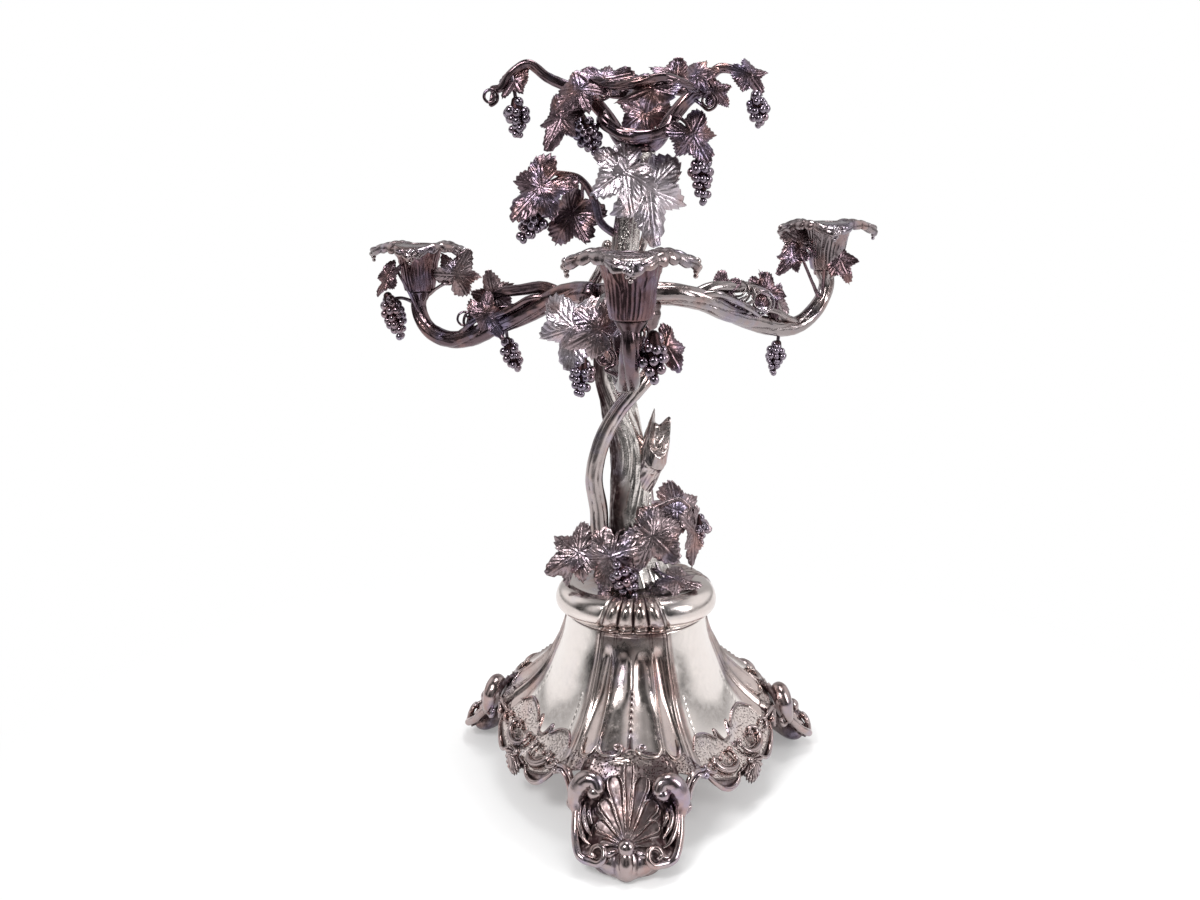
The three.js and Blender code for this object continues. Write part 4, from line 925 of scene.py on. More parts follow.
def build_trunk(material):
    """The main trunk, with painted shade at its front left and painted light at its front right, and roots
    that flare out over the collar.
    """
    shape = Shape()
    fibres = bark(11, grooves=4.2, length=52, depth=1.25)
    knots = bark(4, grooves=1.4, length=30, depth=1.0)

    def relief(distance, angle):
        rise, dark = fibres(distance, angle)
        more, _ = knots(distance, angle)
        share = distance / TRUNK_HEIGHT
        roots = np.cos(5 * angle + 1.1 + 1.6 * share) + 0.5 * np.cos(9 * angle - 2.2 * share)
        flare = (1 - ease(0.0, 0.24, share))
        rise = rise + 0.5 * more + 2.2 * roots * flare
        dark = dark + 0.45 * flare * ease(0.2, -0.8, roots)
        # Painted shade: the bark darkens towards the trunk's front left.
        left = 0.5 + 0.5 * np.cos(angle - math.radians(212))
        return rise - 0.4, np.clip(dark * (0.25 + 0.9 * left) + 0.8 * left ** 3, 0, 1)
    level_limb(shape, TRUNK_BENDS, TRUNK_FOOT, TRUNK_HEIGHT, TRUNK_RADIUS, 200, 300, relief, 1.0, 0.15)
    for degrees, radius, reach, rise in ROOT_FLARES:
        a = math.radians(degrees)
        ahead = np.array([math.cos(a), math.sin(a)])
        rows = [(17.5, 46), (19.5, rise + 14), (23.5, rise + 2), (reach - 4, 4.4), (reach + 2, 1.6)]
        points = [[r * ahead[0] - 1.5, r * ahead[1], TRUNK_FOOT + z] for r, z in rows]
        points[3][0] += 3 * math.sin(7 * a)
        radii = [radius, radius + 0.5, radius, radius - 0.8, 1.2]
        tube(shape, Route(points), radii, 16, 1.4, bark(degrees, 2.0, 12, 0.45))
    shape.piece("bark_trunk", material, "root", "trunk")


def broken_end(shape, route, radii, seed, relief, spires, slant, sides=96):
    """A broken limb: its torn face is slanted and lumpy, with spires of wood standing at its back edge."""
    count = max(int(route.length / 1.2), 12)
    centres, ahead, out, size, points, dark = limb(route, radii, count, sides, relief)
    angle = circle(sides)
    ragged = 3.4 * noise(triple(np.cos(angle) * 2.1, np.sin(angle) * 2.1, seed), seed)
    for direction, high, half in spires:
        near = out[-1] @ unit(np.array(direction))
        ragged = ragged + high * np.clip((near - math.cos(half)) / (1 - math.cos(half)), 0, 1) ** 1.3
    ragged = ragged - slant * ease(-0.6, 1.0, out[-1] @ unit(np.array([0.45, -0.9, 0.0])))
    torn = ease(0.35, 1.0, even(count))[:, None]
    points = points + ahead[:, None] * (torn * ragged)[..., None]
    dark = np.clip(dark + 0.4 * torn * ease(2, 9, ragged), 0, 1)
    low = np.sort(ragged)[sides // 3]
    for inward, sink, shade in TORN_RINGS:
        lumps = 0.5 * noise(triple(3 * inward * np.cos(angle), 3 * inward * np.sin(angle), seed), 2)
        cut = low + (ragged - low) * inward ** 2 + lumps - sink
        ring = centres[-1] + out[-1] * (size[-1] * inward) + ahead[-1] * cut[:, None]
        points = np.concatenate([points, ring[None]])
        dark = np.concatenate([dark, np.full((1, sides), shade)])
    face = np.zeros(dark.shape)
    face[count:] = 1
    hollow = centres[-1] + ahead[-1] * (low - 2.2)
    shape.closed(points, centres[0], hollow, dark, face, 0.4 * face, (0.0, 0.3))


def build_stump(material):
    """The broken limb that stands out at the trunk's right."""
    shape = Shape()
    root = trunk_at(0.38)
    route = path(root, [(0, -2, -8), (10, -5, 12), (19, -7, 39), (25, -8, 60)])
    relief = bark(21, 2.6, 24, 0.9)
    spires = (((-0.9, 0.3, 0.2), 13, 0.75), ((0.5, 0.85, 0.0), 5, 0.7))
    broken_end(shape, route, [9.0, 9.8, 11.2, 12.2, 10.6], 3, relief, spires, 24)
    knot = route.along(0.45)
    ball(shape, off(knot, 3, -8, 0), 3.0, 10, 18, 1.4, 0.15)
    shape.piece("broken_limb", material, "root", "trunk_stump")


VINE_UP = [
    # share of the trunk's height, sideways and backwards from the trunk
    (0.13, -18, -15), (0.22, -28, -17), (0.33, -29, -17), (0.45, -31, -19), (0.57, -20, -22),
    (0.68, -1, -26), (0.76, 21, -26), (0.82, 33, -12), (0.88, 32, 10), (0.93, 16, 28), (1, -4, 32)]
VINE_TOP = [(0.35, -26, 31), (0.78, -24, 33), (1.3, -15, 26), (1.9, -10, 13)]
VINE_RADII = [8, 7.5, 7, 6.5, 6.5, 5.5, 5, 4.5]


def vine_route():
    points = [off(trunk_at(up), x, y) for up, x, y in VINE_UP]
    points += [np.array([HUB_X + x, y, HUB_FOOT + up * HUB_HEIGHT]) for up, x, y in VINE_TOP]
    return Route(points)


def grooved(seed, count, twist, depth, fine=0.45):
    """A limb drawn into a few long strands that wind round it, with fine bark over them."""
    fibres = bark(seed, 2.4, 18 + 30 * (0.45 - fine), fine)

    def relief(distance, angle):
        rise, dark = fibres(distance, angle)
        turn = count * angle + twist * distance + 0.7 * np.sin(distance / 23 + seed)
        strand = np.sqrt(np.abs(np.cos(turn / 2)))
        rise = rise + depth * (strand - 0.75)
        dark = dark * 1.5 * fine + 0.85 * (1 - ease(0.0, 0.42, strand))
        return rise, np.clip(dark, 0, 1)
    return relief


def build_vine(material):
    """The thick vine that climbs round the trunk and behind the hub."""
    shape = Shape()
    tube(shape, vine_route(), VINE_RADII, 72, 1.1, grooved(5, 5, 0.035, 1.5, 0.22))
    shape.piece("winding_vine", material, "root", "twisting_vine")


def build_hub(material):
    """The knuckle: knotty wood round the three sockets, which stay round inside for the pegs."""
    shape = Shape()
    level = np.linspace(HUB_FOOT, HUB_TOP, 60)[:, None]
    height, angle = np.broadcast_arrays(level - HUB_FOOT, circle(120))
    rise, dark = bark(31, 2.6, 20, 1.0)(height, angle)
    size = HUB_CORE_RADIUS - 2.7 * ease(0.45, 0.62, height / HUB_HEIGHT) + rise - 0.5
    upright(shape, (HUB_X, 0), size, level, dark)
    for number, azimuth in enumerate(ARM_AZIMUTHS.values()):
        centre = spot(azimuth, LUG_DISTANCE, 0, 0.0, HUB_X)
        tip = LUG_TOP - LUG_DROP
        profile = [[0.6, tip], [4.5, tip + 0.6], [LUG_TIP_RADIUS, tip + 3]]
        widening = np.linspace(LUG_TIP_RADIUS, LUG_RADIUS, 9)
        profile += [*zip(widening, np.linspace(tip + 3.5, LUG_TOP - 11, 9))]
        profile += [[LUG_RADIUS + 0.3 * math.sin(k), LUG_TOP - 11 + k] for k in range(1, 10)]
        profile += [[LUG_RADIUS, LUG_TOP - 0.9], [LUG_RADIUS - 0.9, LUG_TOP], [SOCKET_RADIUS, LUG_TOP]]
        profile += [[SOCKET_RADIUS, LUG_TOP - PEG_LENGTH - 1], [0.5, LUG_TOP - PEG_LENGTH - 1]]
        coat = bark(40 + number, 2.2, 14, 0.7)

        def relief(height, turn, coat=coat):
            rise, shade = coat(height, turn)
            outside = np.zeros(height.shape)
            outside[2:21] = 1
            return rise * outside, shade
        turned(shape, centre, profile, 64, relief)
        middle = spot(azimuth, 18, 0, LUG_TOP - 9, HUB_X)
        outer = spot(azimuth, 27, 0, LUG_TOP - 10.5, HUB_X)
        for side in (-5.5, 0, 5.5):
            along = spot(azimuth, 0, side, 0.0)
            route = Route([middle + along + [0, 0, 0.6], 0.5 * (middle + outer) + along * 0.9 + [0, 0, 1.5],
                           outer + along * 0.7])
            tube(shape, route, [4.4, 4.4, 3.2], 14, 1.2, bark(50 + side, 2, 10, 0.4))
    shape.piece("knotted_hub", material, "root", "arm_hub")


STRAND_ROUTE = [(0.2, 4, 7), (0.27, 12, 13), (0.45, 17, 13), (0.68, 18, 9), (0.85, 12, 4), (0.95, 5, 0)]


def build_stem(material):
    """The stem over the hub, with a thin second strand."""
    shape = Shape()
    strands = grooved(8, 4, 0.03, 1.4, 0.3)
    height = STEM_HEIGHT - 0.02
    # Painted light: the stem's front right side is paled.
    level_limb(shape, STEM_BENDS, STEM_FOOT, height, STEM_RADIUS - 0.4, 110, 130, strands, 0.8, 1.0)
    route = Route([off(stem_at(up), x, y) for up, x, y in STRAND_ROUTE])
    tube(shape, route, [3.2, 3.2, 3.2, 3.0], 28, 1.0, grooved(9, 3, 0.05, 0.7))
    shape.piece("fluted_stem", material, "root", "upper_stem")


# Vine leaves
LOBE_ANGLES = [0, 12, 27, 40, 52, 66, 80, 97, 111, 125, 142, 158, 171, 177, 180]
LOBE_REACH = [0.72, 0.62, 0.49, 0.40, 0.48, 0.62, 0.52, 0.42, 0.50, 0.59, 0.57, 0.51, 0.40, 0.22, 0.10]
VEINS = [0, 66, -66, 125, -125]
LEAF_HEART = 0.3
LEAF_BEND = 0.35
LEAF_THICKNESS = 1.1
LEAF_LONGER = 1.12
LEAF_WIDER = 1.22


def leaf_frame(joint, tip, face):
    joint, tip, face = (np.asarray(v, float) for v in (joint, tip, face))
    along = unit(tip - joint)
    up = unit(face - face.dot(along) * along)
    return joint, along, up, np.cross(along, up), np.linalg.norm(tip - joint)


def leaf_veins(x, y, a, run, width, length, seed):
    """Rise and darkness of a blade's veins. Each part of it has the pattern of its nearest main vein."""
    ridge = np.zeros_like(x)
    dark = np.zeros_like(x)
    size = 0.5 * (width + length)
    nearest = np.full(x.shape, 999.0)
    for vein in VEINS:
        v = math.radians(vein)
        direction = unit(np.array([math.sin(v) * width, math.cos(v) * length]))
        forward = x * direction[0] + y * direction[1]
        beside = np.abs(x * direction[1] - y * direction[0])
        gap = np.abs((a - vein + 180) % 360 - 180) + 0 * x
        own = gap < nearest
        nearest = np.minimum(nearest, gap)
        spread = (forward - 1.19 * beside + 0.02 * size * np.sin(beside / 2 + seed)) / (0.115 * size)
        part = spread - np.round(spread)
        second = bump(part, 0, 0.13) * ease(0.8, 2.2, beside) * (forward > 0)
        main = bump(beside, 0, 0.65 + 0.3 * (1 - run)) * (forward > 0)
        swell = 0.24 * np.minimum(1 - np.cos(2 * np.pi * part), 1.5) * ease(0.5, 3, beside)
        edges = bump(beside, 1.5, 0.5) * (forward > 0)
        ridge = np.where(own, swell + 0.45 * main - 0.6 * edges - 0.25 * second, ridge)
        dark = np.where(own, 0.4 * edges + 0.25 * second, dark)
    return ridge, dark


def add_leaf(shape, joint, tip, face, width, bend=LEAF_BEND, seed=0.0, columns=208, rows=30):
    """A lobed and toothed blade with sunken veins, bent down from its heart."""
    joint, along, up, across, length = leaf_frame(joint, tip, face)
    a = np.linspace(-180, 180, columns, endpoint=False)[None, :]
    reach = np.interp(np.abs(a), LOBE_ANGLES, LOBE_REACH)
    count = np.abs(a) / 9.5 + 0.2 * np.sin(seed + a / 20)
    uneven = 0.6 + 0.8 * hashed(triple(np.floor(count), np.sign(a), seed))
    reach = reach * (1 + 0.095 * uneven * (count % 1 - 0.5) * (np.abs(a) < 172))
    reach = reach * (1 + 0.07 * np.sin(a / 23 + seed) + 0.05 * np.sin(a / 9 + 2 * seed))
    run = np.linspace(0.02, 1, rows)[:, None] ** 0.85
    turn = np.radians(a)
    x = reach * run * np.sin(turn) * width
    y = reach * run * np.cos(turn) * length
    size = 0.5 * (width + length)
    ridge, dark = leaf_veins(x, y, a, run, width, length, seed)
    drop = bend * (x ** 2 + 0.5 * y ** 2) / length
    wave = 0.075 * length * np.sin(3.2 * turn + seed) * run ** 2.2
    wave = wave + 0.03 * length * np.sin(8 * turn + 2 * seed) * run ** 4
    cupped = 0.06 * length * ease(0.5, 1.0, run) * np.cos(turn * 2.8 + seed) * 0.6
    grain = 0.12 * noise(triple(x / 1.7, y / 1.7, seed), 3)
    grain = grain + 0.75 * noise(triple(x / 7, y / 7, seed), 9)
    lift = 0.62 * ridge * (0.35 + 0.65 * run) * (size / 42) - drop + wave - cupped * 0.4 + grain
    edge = ease(0.93, 1.0, run)
    top = lift + 0.5 * LEAF_THICKNESS * (1 - 0.75 * edge)
    low = lift - 0.5 * LEAF_THICKNESS * (1 - 0.75 * edge)
    flat = joint + (LEAF_HEART * length + y)[..., None] * along + x[..., None] * across
    outer, under = flat + top[..., None] * up, flat + low[..., None] * up
    skin = np.concatenate([outer, under[::-1]])
    patches = noise(triple(x / 11, y / 11, seed * 3), 6)
    dark = np.clip(dark * 0.9 + 0.3 * ease(0.1, 0.8, patches) + 0.25 * (1 - edge) * 0.3, 0, 1)
    marks = np.concatenate([dark, 0.45 + 0.4 * dark[::-1]])
    heart = joint + LEAF_HEART * length * along
    half = 0.5 * LEAF_THICKNESS * up
    shape.closed(skin, heart + half, heart - half, np.clip(marks, 0, 1), ends=(0.6, 0.6))


def add_stalk(shape, points, radii=(1.9, 1.5, 1.4, 1.1)):
    tube(shape, Route(points), list(radii), 12, 1.0, knobbly(1, 5, 0.18))


def leaf_stalk(shape, root, joint, tip):
    root, joint, tip = (np.asarray(v, float) for v in (root, joint, tip))
    reach = np.linalg.norm(joint - root)
    bow = np.array([0.10 * reach * math.sin(3 * root[0]), -0.12 * reach, 0.14 * reach])
    bowed = [lerp(root, joint, 0.3) + 0.8 * bow, lerp(root, joint, 0.65) + bow]
    add_stalk(shape, [root, *bowed, joint, lerp(joint, tip, 0.2)])


# Bunches of grapes
BUNCH_FULLNESS = [0.42, 0.86, 1.0, 0.88, 0.64, 0.34]


def add_bunch(shape, top, tip, width, seed):
    """Rings of berries, uneven in size and place, round a core that is dark as painted shade between them.
    """
    top, tip = np.asarray(top, float), np.asarray(tip, float)
    length = np.linalg.norm(tip - top)
    along = unit(tip - top)
    berry = 0.17 * width + 0.5
    side = unit(np.cross(along, [0.3, 1, 0.1]))
    deep = np.cross(along, side)
    core = Route([top, lerp(top, tip, 0.5), lerp(top, tip, 0.94)])
    # The core is fully dark: painted shade seen through the gaps between the berries.
    tube(shape, core, [width * 0.2, width * 0.3, width * 0.2, width * 0.08], 14, 2.0, smooth(1.0))
    rings = max(int((length - berry) / (berry * 1.42)), 4)
    for row in range(rings + 1):
        share = (row + 0.35) / (rings + 0.6)
        full = float(read(BUNCH_FULLNESS, share)) * width / 2
        size = berry * (1.0 - 0.28 * share)
        out = max(full - size * 0.75, 0.0)
        count = max(int(2 * math.pi * out / (size * 1.72)), 1)
        for step in range(count):
            wobble = hashed(np.array([row + seed, step, 1.7]))
            shift = hashed(np.array([step + seed, row, 5.3])) - 0.5
            turn = 2 * math.pi * (step + 0.5 * (row % 2) + 0.5 * shift) / count + seed + row * 0.4
            reach = out * (0.84 + 0.3 * wobble)
            place = top + along * (share * length * 0.97 + size * 0.9 * shift)
            place = place + reach * (side * math.cos(turn) + deep * math.sin(turn))
            ball(shape, place, size * (0.86 + 0.34 * wobble), 10, 16, 1.04, 0.2 * shift)
    ball(shape, tip - along * berry * 0.7, berry * 0.72, 9, 14)


def bunch_stalk(shape, root, top, tip):
    root, top, tip = (np.asarray(v, float) for v in (root, top, tip))
    along = unit(tip - top)
    add_stalk(shape, [root, lerp(root, top, 0.5) + [0, 0, 2], top + 3 * along], (2.0, 1.6, 1.5))


def add_tendril(shape, root, reach, loop, rise, radius=1.3):
    """A thin shoot from a root that curls round a point, closer at each turn."""
    root = np.asarray(root, float)
    centre = root + reach
    points = []
    for step in range(10):
        share = step / 9
        a = math.radians(-90 + 504 * share)
        size = loop * (1 - 0.45 * min(share, 1.2))
        points.append(centre + [size * math.cos(a), rise * share, size * math.sin(a)])
    route = Route([root, lerp(root, points[0], 0.55) + [0, -1, 0], *points])
    tube(shape, route, [1.7, radius, radius, 1.0], 12, 0.8)


# Foliage on the trunk and the stem
VINE_LINE = vine_route()
FOOT_ARCH = path(trunk_at(0.3), [(0, 0), (22, -4, 8), (40, -5, 14), (50, -4, 6)])
STEM_SPRAY = path(stem_at(0.36), [(0, 0), (-20, 0, 14), (-26, -1, 34), (-38, -3, 50), (-56, -6, 54)])
STEM_SPRAY_LEAVES = [
    # share of the spray, joint, tip, width, seed
    (0.97, (-4, -3, 0), (-36, -9, -32), 38, 2.2), (0.72, (-2, 10, -14), (-26, 13, -48), 38, 5.5)]
HUB_LEFT = np.array([HUB_X, 0, LUG_TOP])
ROOT_LEAVES = [
    # name, root, joint, tip, face, width, seed
    ("foot_leaf_left", VINE_LINE.along(0.06), (-8, -6, 2), (-42, -8, -22), (-0.35, -0.9, 0.3), 36, 0.4),
    ("foot_leaf_centre", trunk_at(0.24), (-15, -32, 0), (-26, -37, -38), (-0.2, -1, 0.1), 36, 2.1),
    ("foot_leaf_right", trunk_at(0.28), (6, -27, 2), (36, -33, -24), (0.25, -1, 0.3), 42, 3.3),
    ("foot_leaf_rear", trunk_at(0.3), (26, 14, 6), (62, 14, -16), (0.3, -0.9, 0.4), 34, 1.2),
    ("foot_leaf_hanging", trunk_at(0.2), (-42, -10, 4), (-63, -20, -34), (-0.9, -0.3, 0.3), 26, 5.2),
    ("hub_leaf", HUB_LEFT, (-34, -30, 0), (-40, -36, -46), (-0.3, -0.95, 0.15), 46, 2.7),
    ("stem_leaf_front_left", stem_at(0.9), (1, -22, 0), (-34, -27, -20), (-0.2, -1, 0.3), 44, 4.4),
    ("stem_leaf_front_right", stem_at(0.84), (7, -21, 2), (14, -27, -50), (0.2, -1, 0.2), 46, 0.9),
]
# Leaves that look lit take the paler copy of leaf silver: painted light.
LIT_LEAVES = ("stem_leaf_front_left", "stem_leaf_front_right", "hub_leaf")
ROOT_BUNCHES = [
    # name, root, top, tip, width
    ("foot_grapes", trunk_at(0.2), (-14, -40, -8), (1, -46, -36), 21),
    ("foot_spray_grapes", FOOT_ARCH.along(0.86), (12, 8, -16), (12, 8, -44), 17),
    ("hub_grapes", HUB_LEFT, (-29, -34, -42), (-32, -36, -72), 21),
    ("stem_spray_grapes", STEM_SPRAY.along(0.86), (-24, 4, -28), (-42, 4, -52), 21),
]


def leaf_piece(name, body, material, root, joint, tip, face, width, seed, bend=LEAF_BEND,
               slot="bright_silver", stalk=None):
    """One leaf with its stalk. Its joint and tip are measured from its root."""
    shape = Shape()
    joint, tip = off(root, *joint), off(root, *tip)
    tip = lerp(joint, tip, LEAF_LONGER)
    add_leaf(shape, joint, tip, face, width * LEAF_WIDER, bend, seed)
    leaf_stalk(shape, root if stalk is None else stalk, joint, tip)
    shape.piece("vine_" + name, material, body, name, slot=slot)


def bunch_piece(name, body, material, root, top, tip, width):
    """One bunch with its stalk. Its top and tip are measured from its root."""
    shape = Shape()
    top, tip = off(root, *top), off(root, *tip)
    add_bunch(shape, top, tip, width, seed=0.7 * width + 0.01 * top[0])
    bunch_stalk(shape, root, top, tip)
    shape.piece("vine_" + name, material, body, name, slot="dark_silver")


def build_root_foliage(leaf_material, grape_material):
    for name, root, joint, tip, face, width, seed in ROOT_LEAVES:
        coat = lit_leaf_silver if name in LIT_LEAVES else leaf_material
        leaf_piece(name, "root", coat, root, joint, tip, face, width, seed)
    leaf_piece("collar_leaf", "root", leaf_material, trunk_at(0.07), (28, -22, 0), (51, -32, -6),
               (0.1, -0.15, 1), 36, 1.7, 0.1)
    for name, root, top, tip, width in ROOT_BUNCHES:
        bunch_piece(name, "root", grape_material, root, top, tip, width)
    shape = Shape()
    tube(shape, FOOT_ARCH, [2.4, 2.2, 2.0, 1.8], 20, 1.0, grooved(3, 3, 0.1, 0.35))
    root = FOOT_ARCH.along(0.97)
    joint, tip = off(root, 2, -4, -6), off(root, 6, -8, -52)
    add_leaf(shape, joint, tip, (0.8, -0.6, 0.2), 24, seed=3.9)
    leaf_stalk(shape, root, joint, tip)
    shape.piece("vine_foot_spray", leaf_material, "root", "foot_spray", slot="dark_silver")
    shape = Shape()
    tube(shape, STEM_SPRAY, [3.6, 3.2, 2.8, 2.2], 24, 1.0, grooved(4, 3, 0.08, 0.5))
    for share, joint, tip, width, seed in STEM_SPRAY_LEAVES:
        root = STEM_SPRAY.along(share)
        joint, tip = off(root, *joint), off(root, *tip)
        longer = lerp(joint, tip, LEAF_LONGER)
        add_leaf(shape, joint, longer, (-0.3, -0.9, 0.25), width * LEAF_WIDER, seed=seed)
        leaf_stalk(shape, root, joint, tip)
    # The spray takes the shaded copy of leaf silver: painted shade.
    shape.piece("vine_stem_spray", shaded_leaf_silver, "root", "stem_spray", slot="dark_silver")


# Branches with their cups and nozzles
ARM_BENDS = [
    # share of the way out, sideways, how far it sags
    (0, 0, 0), (0.117, -8, 2), (0.25, -12, 8.5), (0.383, -10, 21), (0.543, -6, 33), (0.702, -3, 43.5),
    (0.824, -1, 46), (0.92, 0, 39), (0.984, 0, 27), (1.01, 0, 15), (1, 0, 4)]
STRAND_BENDS = [
    (0.2, -12, 4), (0.3, -13, -1), (0.42, -11, 1), (0.54, -8, 4), (0.64, -7, 13), (0.7, -5, 27),
    (0.7, -3, 41)]
ARM_KNOTS = [
    # share of the branch, radius
    (0.17, 3.4), (0.36, 2.8), (0.58, 3.0), (0.78, 2.6)]
ARM_RADII = [9, 9.5, 9, 8, 8, 7.5, 7, 6.5]
ARM_LEAVES = {
    # name, share of the branch, joint, tip, face, width, seed
    "left": [("cup_leaf_left", 0.86, (24, -6, 40), (40, -8, 66), (0.1, -1, 0.1), 32, 1.1),
             ("arm_leaf_left", 0.5, (-2, 12, 14), (-8, 14, 46), (-0.4, 0.8, 0.3), 30, 2.9)],
    "front": [("cup_leaf_front", 0.72, (-12, 8, 30), (-34, 10, 48), (-0.2, -0.9, 0.3), 34, 4.1)],
    "right": [("cup_leaf_right", 0.93, (-20, -4, 40), (-42, -6, 54), (0, -1, 0.2), 26, 0.2),
              ("arm_leaf_right", 0.62, (2, -2, 12), (-14, -4, 46), (0.2, -1, 0.1), 18, 3.6)],
}
ARM_BUNCHES = {
    # name, share of the branch, top, tip, width
    "left": [("cup_grapes_left", 0.96, (-28, -2, 8), (-16, -2, -32), 21),
             ("arm_grapes_left", 0.46, (2, 0, -16), (12, 0, -44), 19)],
    "front": [("cup_grapes_front", 0.88, (15, 2, 18), (16, 2, -12), 21)],
    "right": [("arm_grapes_right", 0.64, (-2, -4, -14), (-5, -4, -42), 17)],
}
ARM_TENDRILS = {
    # share of the branch, reach, size of the loop, rise
    "left": (0.66, (10, -2, 16), 13, -9),
    "front": (0.5, (14, 0, 18), 9, -8),
    "right": (0.42, (2, -2, 20), 11, 10),
}
ARM_SHOOTS = {
    # where a thin shoot leaves the branch, points over it, and where it comes back
    "left": [(0.2, [(0.3, -4, -8, 9), (0.42, 2, -10, 12), (0.54, -2, -8, 9)], 0.62),
             (0.34, [(0.42, 0, 8, 10), (0.5, -6, 4, 14), (0.58, -8, -4, 10)], 0.7)],
    "front": [(0.2, [(0.3, -9, -4, 6), (0.4, -11, -4, 6), (0.5, -8, -2, 3)], 0.6)],
    "right": [(0.16, [(0.26, 4, -8, 9), (0.36, 0, -10, 13), (0.46, 2, -9, 10)], 0.58),
              (0.4, [(0.5, 4, -6, 12), (0.58, 4, -8, 14), (0.66, 4, -6, 9)], 0.76)],
}
ARM_CURLS = {
    "left": [(0.58, (12, -4, 22), 12, 8), (0.74, (16, -6, 20), 8, -6)],
    "front": [(0.66, (-13, 0, 14), 8, 6)],
    "right": [(0.36, (8, -4, 20), 9, 8), (0.5, (6, -6, 18), 11, -8)],
}
ARM_SMALL_LEAVES = {
    # share of the branch its stalk springs from, joint, tip, face, width, seed
    "left": [(0.56, (-141, 62, 419), (-121, 56, 389), (-0.2, -1, 0.4), 26, 1.3),
             (0.9, (-222, 88, 449), (-238, 82, 423), (-0.5, -0.9, 0.2), 20, 2.4)],
    "front": [(0.62, (-4, -128, 412), (-26, -134, 396), (-0.3, -1, 0.4), 22, 0.3),
              (0.8, (14, -196, 424), (29, -200, 400), (0.4, -1, 0.2), 24, 3.1)],
    "right": [(0.52, (107, 68, 440), (123, 60, 406), (0.1, -1, 0.2), 27, 4.2),
              (0.9, (175, 96, 466), (193, 90, 434), (0.3, -1, 0.1), 26, 5.0),
              (0.88, (145, 99, 464), (126, 92, 444), (-0.2, -1, 0.3), 23, 0.8),
              (0.34, (77, 42, 442), (62, 36, 418), (-0.1, -1, 0.3), 24, 2.0)],
}


def arm_point(azimuth, share, side, sag):
    """A point of a branch: its share of the way out, how far to its side and how far it sags."""
    point = spot(azimuth, lerp(LUG_DISTANCE, ARM_REACH, share), side, 0.0, HUB_X)
    height = LUG_TOP + lerp(ARM_ROOT_RISE, CUP_SEAT_RISE, share) - sag
    return np.array([point[0], point[1], height + LEAN * share * (point[0] - HUB_X)])


def cup_seat(azimuth):
    return arm_point(azimuth, 1, 0, 0)


def add_arm_root(shape, azimuth):
    """The plain peg that stands in the socket, and the swelling over it that rests on the lug."""
    foot = LUG_TOP + SEAT_GAP
    tip = foot - PEG_LENGTH
    coat = bark(azimuth, 2.2, 12, 0.5)

    def relief(height, turn):
        rise, dark = coat(height, turn)
        return rise * ease(foot, foot + 3, height), dark
    profile = [
        [PEG_RADIUS - 1, tip + 0.02], [PEG_RADIUS, tip + 1], [PEG_RADIUS, foot - 1],
        [PEG_RADIUS, foot + 0.02], [ARM_ROOT_RADIUS, foot + 0.02], [ARM_ROOT_RADIUS + 0.2, foot + 1.4]]
    profile += [[lerp(ARM_ROOT_RADIUS, 6.5, k / 8), foot + 1.8 + 1.75 * k] for k in range(9)]
    turned(shape, arm_point(azimuth, 0, 0, ARM_ROOT_RISE), profile, 48, relief)


def add_cup_seat(shape, seat):
    """The ribbed cone at a branch's end that the cup stands on."""
    high = seat[2] - SEAT_GAP
    cone = [[5.4, high - 9]] + [[lerp(6.6, CUP_SEAT_RADIUS, k / 6), high - 8 + 1.22 * k] for k in range(7)]
    cone += [[CUP_SEAT_RADIUS, high]]

    def ribs(height, turn):
        wave = np.cos(9 * turn)
        return 0.5 * wave * (height < high - 0.8), 0.4 - 0.4 * wave
    turned(shape, seat, cone, 48, ribs)


